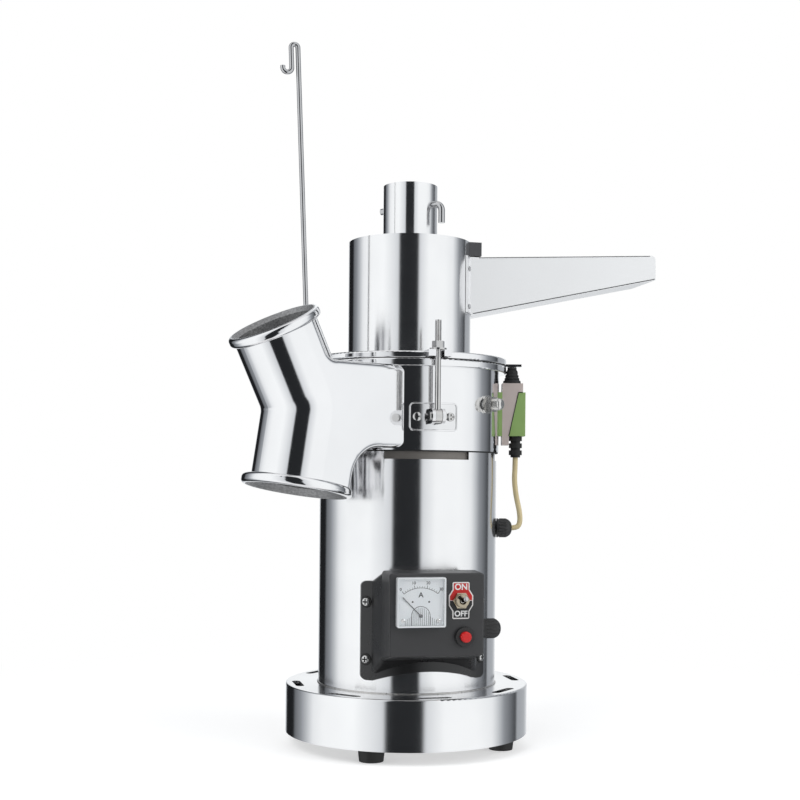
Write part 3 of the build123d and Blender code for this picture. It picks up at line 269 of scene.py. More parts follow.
strength = math_in(tree, "MULTIPLY", seen_directly(tree), strength)
glow = node_in(tree, "ShaderNodeEmission")
fill_in(tree, glow, {"Color": (1, 1, 1, 1), "Strength": strength})
both = node_in(tree, "ShaderNodeAddShader")
fill_in(tree, both, {0: matte.outputs[0], 1: glow.outputs[0]})
tree.links.new(both.outputs[0], node_in(tree, "ShaderNodeOutputMaterial").inputs["Surface"])
floor_mesh.materials.append(paper)
print("floor", 2 * floor_reach, "m wide, white beyond", fade_full, "m")

# %% [markdown]
# ## Soft lights
# The world lights metal well, but the black plastic needs a direction. One large soft light from
# the upper left front models it, and a weaker one from the right lights the safety switch, which
# the mill would leave in shade. Both stay out of reflections, where the panels do the work.

# %% Soft lights


def add_softbox(name, width, height, power, spot, target):
    """A rectangular light at a spot, turned to a target, that metal doesn't mirror."""
    lamp = bpy.data.lights.new(name, "AREA")
    lamp.shape = "RECTANGLE"
    lamp.size, lamp.size_y, lamp.energy = width, height, power
    holder = bpy.data.objects.new(name, lamp)
    bpy.context.scene.collection.objects.link(holder)
    holder.location = spot
    holder.rotation_euler = (target - spot).to_track_quat("-Z", "Y").to_euler()
    holder.visible_glossy = False
    print(name, power, "W")


key_spot, key_target = outwards(-50) * 1.6 + UP * 1.7, UP * 0.3
fill_spot, fill_target = outwards(48) * 1.7 + UP * 0.8, Vector((0.08, 0, 0.3))
add_softbox("key_softbox", width=1.4, height=1.0, power=13.0, spot=key_spot, target=key_target)
add_softbox("fill_softbox", width=1.2, height=1.2, power=11.0, spot=fill_spot, target=fill_target)

# %% [markdown]
# ## Shared surface effects
# Three effects come back in many finishes. Each could be built again in every material, but a node
# group is built once and changed once. The first gives the fine lines and smudges of polished metal,
# the second the pebbled skin of moulded plastic and the third a mask of what lies inside a round
# bore, where a casting is left rough.

# %% Group helpers
FLOAT = "NodeSocketFloat"
VECTOR = "NodeSocketVector"


def new_group(name, inputs, outputs):
    """Start a shader node group and return its tree with the nodes at both ends."""
    group = bpy.data.node_groups.new(name, "ShaderNodeTree")
    for label, kind, default in inputs:
        socket = group.interface.new_socket(label, in_out="INPUT", socket_type=kind)
        socket.default_value = default
    for label, kind in outputs:
        group.interface.new_socket(label, in_out="OUTPUT", socket_type=kind)
    return group, node_in(group, "NodeGroupInput"), node_in(group, "NodeGroupOutput")


def noise_in(tree, vector, scale, detail=3.0):
    """Add a noise texture on a vector and return its value."""
    node = node_in(tree, "ShaderNodeTexNoise")
    fill_in(tree, node, {"Vector": vector, "Scale": scale, "Detail": detail})
    return node.outputs["Fac"]


print("group helpers ready")

# %% Polish marks: fine lines along one direction and soft smudges
polish, start, end = new_group(
    "polish_marks",
    [("Stretch", VECTOR, (40, 40, 900)), ("Roughness", FLOAT, 0.1), ("Spread", FLOAT, 0.05),
     ("Smudges", FLOAT, 22)],
    [("Roughness", FLOAT), ("Height", FLOAT), ("Tone", FLOAT)],
)
spot = spot_in(polish)
stretched = vector_in(polish, "MULTIPLY", spot, start.outputs["Stretch"])["Vector"]
lines = noise_in(polish, stretched, 1.0, 4.0)
smudges = noise_in(polish, spot, start.outputs["Smudges"], 4.0)
mixed = math_in(polish, "SUBTRACT", math_in(polish, "ADD", lines, smudges), 1.0)
change = math_in(polish, "MULTIPLY", mixed, start.outputs["Spread"])
rough = math_in(polish, "ADD", start.outputs["Roughness"], change, clamp=True)
fill_in(polish, end, {"Roughness": rough, "Height": lines, "Tone": smudges})
print("group", polish.name)

# %% Moulded skin: the fine pebbles and faint mottling of plastic and rubber
mottle_scale = 60.0
mottle_share = 0.25
skin, start, end = new_group(
    "moulded_skin",
    [("Grain", FLOAT, 1800), ("Roughness", FLOAT, 0.45)],
    [("Roughness", FLOAT), ("Height", FLOAT), ("Tone", FLOAT)],
)
spot = spot_in(skin)
pebble = node_in(skin, "ShaderNodeTexVoronoi", feature="SMOOTH_F1")
fill_in(skin, pebble, {"Vector": spot, "Scale": start.outputs["Grain"]})
mottle = noise_in(skin, spot, mottle_scale)
change = math_in(skin, "MULTIPLY", math_in(skin, "SUBTRACT", mottle, 0.5), mottle_share)
rough = math_in(skin, "ADD", start.outputs["Roughness"], change, clamp=True)
fill_in(skin, end, {"Roughness": rough, "Height": pebble.outputs["Distance"], "Tone": mottle})
print("group", skin.name)

# %% Inside a bore: one where a point lies within a radius of an axis and ahead of its start
bore, start, end = new_group(
    "inside_bore",
    [("Start", VECTOR, (0, 0, 0)), ("Axis", VECTOR, (0, 0, 1)), ("Radius", FLOAT, 0.04)],
    [("Mask", FLOAT)],
)
axis = start.outputs["Axis"]
from_start = vector_in(bore, "SUBTRACT", spot_in(bore), start.outputs["Start"])["Vector"]
ahead = dot_in(bore, from_start, axis)
on_axis = vector_in(bore, "MULTIPLY", axis, ahead)["Vector"]
beside = vector_in(bore, "DISTANCE", from_start, on_axis)["Value"]
near_axis = math_in(bore, "LESS_THAN", beside, start.outputs["Radius"])
past_start = math_in(bore, "GREATER_THAN", ahead, 0.0)
bore.links.new(math_in(bore, "MULTIPLY", near_axis, past_start), end.inputs["Mask"])
print("group", bore.name)

# %% [markdown]
# ## Finishes
# The machine is polished sheet, bright and dark steel, black plastic and rubber, with a few small
# coloured pieces. One Principled shader covers each, metal or plastic. A value that is the same all
# over is set on the shader itself, and only what changes over the surface comes from a group: the
# roughness, a slight change of tone and a fine bump.

# %% Material helpers
metal_bump_depth = 0.0002
skin_bump_depth = 0.0003


def place_group(tree, group, **values):
    """Put a shared group into a material with its own values."""
    node = node_in(tree, "ShaderNodeGroup", node_tree=group)
    fill_in(tree, node, values)
    return node


def tone_between(tree, factor, dark, light):
    """Mix two colours by a factor that changes over the surface."""
    return mix_in(tree, "RGBA", factor, (*dark, 1), (*light, 1))


def bump_in(tree, height, strength, distance):
    """Turn a height into a normal."""
    node = node_in(tree, "ShaderNodeBump")
    fill_in(tree, node, {"Strength": strength, "Distance": distance, "Height": height})
    return node.outputs["Normal"]


def new_finish(name):
    """Start a material and return it with its tree and shader."""
    material = bpy.data.materials.new(name)
    material.use_nodes = True
    return material, material.node_tree, material.node_tree.nodes["Principled BSDF"]


def metal_finish(name, dark, light, roughness, spread, stretch, smudges=22.0, bump=0.03):
    """Metal with polish marks along the direction that the stretch leaves long."""
    material, tree, shader = new_finish(name)
    marks = place_group(tree, polish, Stretch=stretch, Roughness=roughness, Spread=spread, Smudges=smudges)
    fill_in(tree, shader, {
        "Metallic": 1.0,
        "Base Color": tone_between(tree, marks.outputs["Tone"], dark, light),
        "Roughness": marks.outputs["Roughness"],
        "Normal": bump_in(tree, marks.outputs["Height"], bump, metal_bump_depth),
    })
    return material


def moulded_finish(name, dark, light, roughness, grain=1800.0, bump=0.12, coat=0.0):
    """Plastic or rubber with a moulded skin."""
    material, tree, shader = new_finish(name)
    body = place_group(tree, skin, Grain=grain, Roughness=roughness)
    fill_in(tree, shader, {
        "Coat Weight": coat,
        "Base Color": tone_between(tree, body.outputs["Tone"], dark, light),
        "Roughness": body.outputs["Roughness"],
        "Normal": bump_in(tree, body.outputs["Height"], bump, skin_bump_depth),
    })
    return material


print("material helpers ready")

# %% Sheet and steel
round_lines = (40.0, 40.0, 1400.0)
long_lines = (60.0, 2500.0, 2500.0)
stacked_lines = (30.0, 30.0, 1600.0)
even_lines = (500.0, 500.0, 500.0)
finishes = {}


def add_finishes(kind, *rows):
    """Make a finish of each row: its name, then what that kind of finish takes."""
    for name, *look in rows:
        finishes[name] = kind(name, *look)
    print("finishes:", ", ".join(row[0] for row in rows))


# name, darkest and lightest tone, roughness, its spread, lines, smudges, bump
add_finishes(
    metal_finish,
    ("polished_steel", (0.80, 0.80, 0.81), (0.90, 0.90, 0.905), 0.165, 0.05, round_lines, 22.0, 0.05),
    ("tray_sheet", (0.92, 0.92, 0.93), (0.96, 0.96, 0.965), 0.38, 0.08, long_lines, 22.0, 0.05),
    ("bright_steel", (0.50, 0.50, 0.50), (0.68, 0.67, 0.66), 0.14, 0.12, even_lines, 90.0),
    ("dark_steel", (0.07, 0.07, 0.074), (0.13, 0.13, 0.135), 0.34, 0.2, even_lines, 70.0),
    ("laminations", (0.16, 0.15, 0.15), (0.26, 0.22, 0.19), 0.5, 0.2, stacked_lines, 22.0, 0.2),
)
finishes["steel"] = finishes["bright_steel"]

# %% Plastics, rubber and painted pieces
fine_grain = 2500.0
# name, darkest and lightest tone, roughness, grain, bump, coat
add_finishes(
    moulded_finish,
    ("black_plastic", (0.016, 0.016, 0.017), (0.027, 0.027, 0.028), 0.42),
    ("black_rubber", (0.010, 0.010, 0.010), (0.020, 0.020, 0.020), 0.62, 1200.0),
    ("grey_plastic", (0.58, 0.50, 0.47), (0.66, 0.58, 0.55), 0.4),
    ("green_plastic", (0.27, 0.43, 0.14), (0.34, 0.51, 0.19), 0.4),
    ("cream_cord", (0.66, 0.54, 0.29), (0.78, 0.67, 0.41), 0.5, 900.0),
    ("dial_white", (0.74, 0.76, 0.78), (0.80, 0.82, 0.84), 0.5, fine_grain, 0.03),
    ("needle_black", (0.012, 0.012, 0.012), (0.020, 0.020, 0.020), 0.4),
    ("sign_white_edge", (0.78, 0.76, 0.75), (0.86, 0.84, 0.83), 0.35, fine_grain, 0.02),
    ("red_plastic", (0.54, 0.006, 0.006), (0.66, 0.010, 0.010), 0.28, fine_grain, 0.02, 0.15),
)
finishes["sign_red"] = finishes["sign_white_edge"]

# %% [markdown]
# ## Brushed sheet
# The tubes are rolled from sheet that was brushed round them, level all the way. Such lines spread
# a reflection upright, so the stripes keep their sides while the image of the outlet smears along
# the tube. Bump would need lines far finer than a pixel, so the shader's own anisotropy does it,
# with a tangent that runs round the upright axis.

# %% Brush the polished sheet
tree = finishes["polished_steel"].node_tree
shader = tree.nodes["Principled BSDF"]
shader.inputs["Anisotropic"].default_value = 0.9
shader.inputs["Anisotropic Rotation"].default_value = 0.25
round_axis = node_in(tree, "ShaderNodeTangent", direction_type="RADIAL", axis="Z")
tree.links.new(round_axis.outputs[0], shader.inputs["Tangent"])
print("polished steel is brushed round the axis")

# %% [markdown]
# ## The casting
# The mill housing is a polished aluminium casting. Outside it is buffed nearly to a mirror, with
# the slight waviness of a hand-held buffing wheel. Inside the two mouths it is left as it came from
# the mould, grey and grainy, and its darker tone there is partly painted shade of the bores. The
# housing could be split into two pieces with a finish each, but it is one casting, so one material
# does both: bore masks choose between the two, one for each bore, one for each flared lip and one
# for the mill chamber.

# %% Where the casting is bored
# the chamber's mask starts half a millimetre under the mill's floor
chamber_start, chamber_r = 0.2960, 0.0825
duct_turn = -63.0
fork_reach, fork_side, fork_height = 0.141, 0.025, 0.3239
upper_lean, upper_bore_r, upper_lip, upper_lip_r = radians(27.1), 0.0352, 0.0835, 0.0395
lower_lean, lower_bore_r, lower_lip, lower_lip_r = radians(9.9), 0.0372, 0.0679, 0.0467
duct_way = outwards(duct_turn)
fork = duct_way * fork_reach + outwards(duct_turn + 90) * fork_side + UP * fork_height
upper_way = duct_way * sin(upper_lean) + UP * cos(upper_lean)
lower_way = duct_way * sin(lower_lean) - UP * cos(lower_lean)
bores = (
    (fork, upper_way, upper_bore_r),
    (fork, lower_way, lower_bore_r),
    (fork + upper_way * upper_lip, upper_way, upper_lip_r),
    (fork + lower_way * lower_lip, lower_way, lower_lip_r),
    (UP * chamber_start, UP, chamber_r),
)
print("fork at", tuple(round(v, 4) for v in fork))

# %% Polished casting with rough bores
grain_scale = 430.0
wave_scale = 30.0
wave_share = 0.35
rough_bore = 0.62
casting_bump, casting_bump_depth = 0.35, 0.0006
casting, tree, shader = new_finish("polished_casting")
marks = place_group(tree, polish, Stretch=(260.0, 260.0, 260.0), Roughness=0.085, Spread=0.07, Smudges=16.0)
inside = 0.0
for bore_start, bore_way, bore_r in bores:
    mask = place_group(tree, bore, Start=bore_start, Axis=bore_way, Radius=bore_r)
    inside = math_in(tree, "MAXIMUM", inside, mask.outputs["Mask"])
grain = noise_in(tree, spot_in(tree), grain_scale, 5.0)
waves = noise_in(tree, spot_in(tree), wave_scale, 1.0)
bright = tone_between(tree, marks.outputs["Tone"], (0.78, 0.78, 0.79), (0.89, 0.89, 0.90))
# the darker grey inside the bores is the casting's grain and partly painted shade
bore_grain_and_shade = tone_between(tree, grain, (0.14, 0.14, 0.144), (0.64, 0.64, 0.645))
rough = mix_in(tree, "FLOAT", inside, marks.outputs["Roughness"], rough_bore)
height = mix_in(tree, "FLOAT", inside, math_in(tree, "MULTIPLY", waves, wave_share), grain)
fill_in(tree, shader, {
    "Metallic": 1.0,
    "Base Color": mix_in(tree, "RGBA", inside, bright, bore_grain_and_shade),
    "Roughness": rough,
    "Normal": bump_in(tree, height, casting_bump, casting_bump_depth),
})
finishes["polished_casting"] = casting
print("casting with", len(bores), "bore masks")

# %% [markdown]
# ## The meter window
# The ammeter has a clear acrylic front in a pale case. Clear plastic could be faked with alpha, but
# then it would neither bend nor mirror light. A transmissive shader with a little variation of
# roughness reads as moulded acrylic and lets the printed dial show through.

# %% Clear acrylic
gloss_share = 0.5
acrylic, tree, shader = new_finish("clear_acrylic")
body = place_group(tree, skin, Grain=fine_grain, Roughness=0.06)
fill_in(tree, shader, {
    "Transmission Weight": 1.0,
    "IOR": 1.3,
    "Base Color": tone_between(tree, body.outputs["Tone"], (0.95, 0.97, 0.98), (1, 1, 1)),
    "Roughness": math_in(tree, "MULTIPLY", body.outputs["Roughness"], gloss_share),
})
finishes["lens_clear"] = acrylic
shell_look = ("pale_acrylic", (0.74, 0.76, 0.78), (0.82, 0.84, 0.86), 0.22, fine_grain, 0.02, 0.5)
add_finishes(moulded_finish, shell_look)

# %% [markdown]
# ## Dressing the model
# Each CAD node takes the finish that its record names. A few real pieces differ from the rest of
# their kind, and changing the record for looks alone would be wrong, so they are named here. The end
# bells are raw castings. The control box has a paler cover on a darker, glossier seat. The toggle's
# bush is nickel over brass. The lid, the latch plate, the rods and the liner bolts are each polished
# in their own way and the meter's needle is grey. The inlet hood is dark steel all over, which paints
# the shade of its underside.

# %% Finishes of single pieces
add_finishes(
    metal_finish,
    ("raw_casting", (0.20, 0.185, 0.17), (0.34, 0.32, 0.30), 0.55, 0.15, even_lines, 60.0, 0.25),
    ("warm_nickel", (0.40, 0.34, 0.25), (0.58, 0.51, 0.40), 0.12, 0.15, even_lines, 90.0),
    ("lid_polish", (0.78, 0.78, 0.79), (0.89, 0.89, 0.90), 0.09, 0.07, even_lines, 16.0),
    ("latch_polish", (0.70, 0.70, 0.71), (0.82, 0.82, 0.83), 0.10, 0.06, even_lines, 40.0),
    ("rod_polish", (0.44, 0.44, 0.45), (0.58, 0.58, 0.59), 0.10, 0.06, round_lines, 60.0),
    ("bolt_satin", (0.66, 0.65, 0.63), (0.80, 0.79, 0.77), 0.26, 0.12, even_lines, 60.0),
)
add_finishes(
    moulded_finish,
    ("box_plastic", (0.032, 0.032, 0.034), (0.046, 0.046, 0.048), 0.42),
    ("seat_plastic", (0.016, 0.016, 0.017), (0.024, 0.024, 0.025), 0.30),
    ("needle_grey", (0.16, 0.16, 0.17), (0.20, 0.20, 0.21), 0.4),
)

# %% Dress every CAD node
# the inlet hood's dark steel is painted shade
special = {
    "upper_bell": "raw_casting", "lower_bell": "raw_casting",
    "box_base": "seat_plastic", "box_cover": "box_plastic",
    "meter_case": "pale_acrylic", "meter_needle": "needle_grey", "toggle_body": "warm_nickel",
    "lid_plate": "lid_polish", "latch_bracket": "latch_polish", "inlet_hood": "dark_steel",
    "hook_rod": "rod_polish", "damper_shaft": "rod_polish", "liner_bolts": "bolt_satin",
}
slot_of = {row["node"]: row["material_slot"] for row in frame["record"]["subparts"]}
for name, node in nodes.items():
    node.data.materials.clear()
    node.data.materials.append(finishes[special.get(name, slot_of[name])])
print("dressed", len(nodes), "nodes,", len(special), "of them with a finish of their own")

# %% [markdown]
# ## The switch cord
# A cream cord runs from the motor gland up to the safety switch. It is a short stiff lead that is
# held at both ends. It could be a mesh tube, but a curve with a round bevel needs only the points of
# the CAD's route, as a smooth NURBS line, and it stands for the CAD tube.

# %% Switch cord
switch_turn = 77.0
gland_up = 214.5
cord_r = 0.0026
cord_route = (
    (99.5, gland_up),
    (108.5, gland_up),
    (111.8, 218.2),
    (112.4, 224.5),
    (111.2, 233.5),
    (108.0, 247.0),
    (106.2, 263.0),
    (107.0, 276.0),
    (107.0, 290.0),
)


def by_switch(reach, up):
    """Spot in the upright plane through the safety switch, from millimetres to metres."""
    return (outwards(switch_turn) * reach + UP * up) * MM


cord_curve = bpy.data.curves.new("switch_cord_line", "CURVE")
cord_curve.dimensions = "3D"
cord_curve.bevel_depth = cord_r
cord_curve.bevel_resolution = 6
cord_curve.use_fill_caps = True
spline = cord_curve.splines.new("NURBS")
spline.points.add(len(cord_route) - 1)
for point, (reach, up) in zip(spline.points, cord_route):
    point.co = (*by_switch(reach, up), 1)
spline.order_u = 3
spline.use_endpoint_u = True
spline.resolution_u = 12
cord = bpy.data.objects.new("switch_lead", cord_curve)
bpy.context.scene.collection.objects.link(cord)
cord_curve.materials.append(finishes["cream_cord"])
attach(cord, "stand")
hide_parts("switch_cord")
print("cord with", len(cord_route), "points")

# %% [markdown]
# ## Tools for the small pieces
# Threads, rivets, ribs and printed lines are too fine for the CAD model, and they are what makes a
# machine look made. Most of them are turned on a lathe or moulded round an axis, so one tool turns a
# profile, with lobes where the real piece has ribs or knurling. A modifier could do that too, but
# rings of points made with bmesh stay clean and sharp at any zoom and need nothing applied later.
# Each small piece sits in a seat: a matrix that says where it is and which way it faces.

# %% Seats, rings and turned shapes


def wall_seat(turn, reach, up, aside=0.0):
    """Seat on an upright wall, sizes in millimetres: x runs to the right, y up and z straight out."""
    out, right = outwards(turn), outwards(turn + 90)
    seat = Matrix((right, UP, out)).transposed().to_4x4()
    seat.translation = (out * reach + right * aside + UP * up) * MM
    return seat


def ring_of(shape, seat, radius, height, steps, lobes=0, ripple=0.0):
    """One ring of points, pulled in between its lobes."""
    ring = []
    for step in range(steps):
        turn = 2 * pi * step / steps
        r = radius - ripple * (0.5 - 0.5 * cos(lobes * turn))
        ring.append(shape.verts.new(seat @ (Vector((r * cos(turn), r * sin(turn), height)) * MM)))
    return ring


def join_rings(shape, low, high):
    """A band of faces between two rings."""
    for step in range(len(low)):
        after = (step + 1) % len(low)
        shape.faces.new((low[step], low[after], high[after], high[step]))


def add_turned(shape, seat, profile, steps=48, lobes=0, loop=False):
    """Turn a profile of (radius, height, ripple) in millimetres round the seat's z axis."""
    rings = [ring_of(shape, seat, r, height, steps, lobes, ripple) for r, height, ripple in profile]
    for low, high in zip(rings, rings[1:]):
        join_rings(shape, low, high)
    if loop:
        join_rings(shape, rings[-1], rings[0])
    else:
        shape.faces.new(rings[0][::-1])
        shape.faces.new(rings[-1])


def plain(points):
    """Give a profile of (radius, height) its third number: no ripple."""
    return tuple((r, height, 0) for r, height in points)


print("turning tools ready")

# %% Finished pieces
sharp_angle = radians(38)


def add_piece(name, shape, body, slot, finish=None, stands_for=None):
    """Make an object of a shape, smooth but for its sharp edges, in its slot's finish or its own."""
    bmesh.ops.recalc_face_normals(shape, faces=shape.faces)
    mesh = bpy.data.meshes.new(name)
    shape.to_mesh(mesh)
    shape.free()
    mesh.shade_smooth()
    mesh.set_sharp_from_angle(angle=sharp_angle)
    mesh.materials.append(finishes[finish or slot])
    piece = bpy.data.objects.new(name, mesh)
    bpy.context.scene.collection.objects.link(piece)
    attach(piece, body)
    if stands_for:
        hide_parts(stands_for)
    print(name, len(mesh.polygons), "faces")
    return piece


def add_patch(shape, seat, outline):
    """Fill a flat outline."""
    corners = [shape.verts.new(seat @ (Vector((x, y, 0)) * MM)) for x, y in outline]
    for face in tessellate_polygon([[Vector((x, y, 0)) for x, y in outline]]):
        shape.faces.new([corners[corner] for corner in face])


print("piece tools ready")

# %% [markdown]
# ## Weld beads
# The tubes and plates are joined by fine welds that were dressed but not ground away. Each bead is a
# thin ring with ripples, half sunk in the corner between the two sheets, as a real fillet weld is.
# A bump map would not catch the light in the corner, so the beads are real rings.

# %% Weld beads
ON_AXIS = Matrix.Identity(4)
bead_ripple = 0.18
bead_sides = 8
weld_look = ("weld_steel", (0.42, 0.41, 0.40), (0.60, 0.59, 0.58), 0.30, 0.2, even_lines, 120.0, 0.1)
add_finishes(metal_finish, weld_look)


def round_section(radius, height, thick, ripple=0.0):
    """Profile of a round bead: a small circle at a radius and a height."""
    turns = [2 * pi * step / bead_sides for step in range(bead_sides)]
    return [(radius + thick * cos(turn), height + thick * sin(turn), ripple) for turn in turns]


for name, body, radius, height, thick, ripples in (
    ("base_weld", "stand", 88.0, 61.0, 1.2, 90),
    ("feed_weld", "lid", 61.0, 381.5, 1.0, 66),
    ("air_weld", "lid", 27.0, 497.0, 0.9, 34),
):
    shape = bmesh.new()
    section = round_section(radius, height, thick, bead_ripple)
    add_turned(shape, ON_AXIS, section, 4 * ripples, ripples, loop=True)
    add_piece(name, shape, body, "steel", "weld_steel")

# %% [markdown]
# ## Rings of painted shade
# A thin black ring lies in the groove under the lid and another in the step under the mill housing.
# They paint the shade in these gaps as the thin dark lines that part the castings. A flat dark line
# could be painted there, but a turned ring also shows when the lid is open.

# %% Rings of painted shade under the lid and the housing
shade_ring_steps = 160
lid_shade_ring = round_section(radius=95.85, height=375.0, thick=0.6)
step_shade_ring = plain(((87.9, 288.2), (89.0, 288.2), (89.3, 288.7), (89.3, 289.5), (87.9, 289.5)))
shape = bmesh.new()
add_turned(shape, ON_AXIS, lid_shade_ring, shade_ring_steps, loop=True)
add_turned(shape, ON_AXIS, step_shade_ring, shade_ring_steps, loop=True)
add_piece("housing_shade_rings", shape, "stand", "black_rubber")

# %% [markdown]
# ## Lines of painted shade, and seams
# The feed tray's walls and the tabs that hold it get thin dark lines along their edges, which paint
# the shade at the walls' edges and in the gap between the tabs and the cylinder. The two halves of
# the safety switch meet in a dark seam. Edges could be darkened by a mask, but each line is a thin
# round bar laid along the edge of the CAD solid.

# %% Bars


def add_bar(shape, first, last, radius):
    """A round bar with softly rounded ends between two points in millimetres."""
    length = (last - first).length
    tip, bevel = radius * 0.6, radius * 0.4
    profile = plain(((tip, 0), (radius, bevel), (radius, length - bevel), (tip, length)))
    seat = (last - first).to_track_quat("Z", "Y").to_matrix().to_4x4()
    seat.translation = first * MM
    add_turned(shape, seat, profile, 12)


print("bar tool ready")

# %% Painted shade along the tray's edges
tray_wall = 31.2
tray_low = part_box("feed_tray")[0][2] / MM
tray_top = tray_low + 55.5
low_edge_shade = ((57.0, tray_low - 0.3), (249.2, tray_top - 13.5), 0.45)
top_edge_shade = ((63.0, tray_top - 0.5), (244.0, tray_top + 9.6), 0.35)
shape = bmesh.new()
for wall in (-tray_wall, tray_wall):
    for (root, root_up), (tip, tip_up), shade_r in (low_edge_shade, top_edge_shade):
        add_bar(shape, Vector((root, wall, root_up)), Vector((tip, wall, tip_up)), shade_r)
add_piece("tray_edge_shade", shape, "lid", "dark_steel")

# %% Painted shade at the edges of the tray's tabs
tab_turns = (53.2, 126.8)
tab_face = 62.2
tab_inset = 4.0
shape = bmesh.new()
for turn in tab_turns:
    edge = outwards(turn) * tab_face
    add_bar(shape, edge + UP * (tray_low + tab_inset), edge + UP * (tray_top - tab_inset), radius=0.6)
add_piece("tray_tab_shade", shape, "lid", "dark_steel")

# %% Seams of the safety switch
switch_half = 9.1
seam_route = ((99.7, 306.0), (109.0, 349.5), (113.5, 349.5))
shape = bmesh.new()
for side in (-switch_half, switch_half):
    aside = outwards(switch_turn + 90) * side
    seam = [aside + outwards(switch_turn) * reach + UP * up for reach, up in seam_route]
    for first, last in zip(seam, seam[1:]):
        add_bar(shape, first, last, radius=0.4)
add_piece("switch_seams", shape, "stand", "black_rubber")

# %% [markdown]
# ## Threads
# The swing bolt shows its thread above the nut, the liner bolts end in threaded stubs and so does the
# toggle's bush. A screw modifier could cut a true thread into each rod. A ridge wound round the plain
# CAD rod is enough: its crests catch the light as rolled threads do.

# %% Thread tool


def add_thread(shape, seat, radius, depth, pitch, length, steps=24):
    """Wind a ridge round the seat's z axis that fades out at both ends."""
    half_pitch, sunk = 0.49 * pitch, -0.06
    count = int(length / pitch * steps)
    rows = []
    for number in range(count + 1):
        turn = 2 * pi * number / steps
        height = length * number / count
        crest = depth * min(1.0, 2 * number / steps, 2 * (count - number) / steps)
        row = []
        for side, lift in ((-half_pitch, sunk), (0.0, crest), (half_pitch, sunk)):
            r = radius + lift
            row.append(shape.verts.new(seat @ (Vector((r * cos(turn), r * sin(turn), height + side)) * MM)))
        rows.append(row)
    for one, two in zip(rows, rows[1:]):
        shape.faces.new((one[0], two[0], two[1], one[1]))
        shape.faces.new((one[1], two[1], two[2], one[2]))


print("thread tool ready")

# %% Threads on the swing bolt, the liner bolts and the toggle
latch_turn, bolt_reach = 2.0, 103.5
above_nut, bare_ends = 0.5, 1.2
liner_turns = (43.0, -137.0)
toggle_up, toggle_aside = 151.7, 22.3
nut_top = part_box("latch_nut")[1][2]
bolt_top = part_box("swing_bolt")[1][2]
bolt_seat = Matrix.Translation(outwards(latch_turn) * bolt_reach * MM + UP * (nut_top + above_nut * MM))
bolt_length = (bolt_top - nut_top) / MM - bare_ends
shape = bmesh.new()
add_thread(shape, bolt_seat, radius=2.8, depth=0.32, pitch=1.0, length=bolt_length)
add_piece("swing_bolt_thread", shape, "latch", "steel")
shape = bmesh.new()
for turn in liner_turns:
    liner_seat = wall_seat(turn, reach=99.8, up=334.5)
    add_thread(shape, liner_seat, radius=5.6, depth=0.35, pitch=1.2, length=5.2, steps=36)
add_piece("liner_bolt_thread", shape, "stand", "steel", "bolt_satin")
shape = bmesh.new()
bush_seat = wall_seat(0, 125.4, toggle_up, toggle_aside)
add_thread(shape, bush_seat, radius=5.8, depth=0.3, pitch=1.0, length=4.2, steps=40)
add_piece("toggle_bush_thread", shape, "stand", "steel", "warm_nickel")

# %% [markdown]
# ## Rim of the latch plate
# The latch plate is pressed from sheet, and its rolled rim shows as a bright line with a dark one
# beside it. A bevel on the CAD plate would be too narrow to see, so a fine round bead is laid along
# the plate's outline, on the curve of the housing.

# %% Outline of the latch plate
latch_up = 320.5
plate_face = 92.0
plate_half_w, plate_half_h, plate_corner = 22.6, 12.6, 3.6
plate_step = 2.5
outline = []
for right, top, start in ((1, 1, 0), (-1, 1, 90), (-1, -1, 180), (1, -1, 270)):
    for turn in map(radians, range(start, start + 91, 15)):
        x = right * (plate_half_w - plate_corner) + plate_corner * cos(turn)
        outline.append((x, top * (plate_half_h - plate_corner) + plate_corner * sin(turn)))
plate_path = []
for (x, y), (next_x, next_y) in zip(outline, outline[1:] + outline[:1]):
    pieces = max(1, round(abs(next_x - x) / plate_step))
    for number in range(pieces):
        share = number / pieces
        way = outwards(latch_turn + degrees(asin((x + (next_x - x) * share) / plate_face)))
        plate_path.append((way * plate_face + UP * (latch_up + y + (next_y - y) * share), way))
print("outline of", len(plate_path), "points")

# %% Rim of the latch plate


def add_rim(shape, path, radius, steps=10):
    """Lay a round bead along a closed path of spots, in millimetres, each with its way out."""
    turns = [2 * pi * step / steps for step in range(steps)]
    rings = []
    for number, (spot, out) in enumerate(path):
        run = (path[(number + 1) % len(path)][0] - path[number - 1][0]).normalized()
        side = run.cross(out).normalized()
        rings.append([shape.verts.new((spot + (side * cos(t) + out * sin(t)) * radius) * MM) for t in turns])
    for low, high in zip(rings, rings[1:] + rings[:1]):
        join_rings(shape, low, high)


shape = bmesh.new()
add_rim(shape, plate_path, radius=0.8)
add_piece("latch_plate_rim", shape, "stand", "steel", "lid_polish")
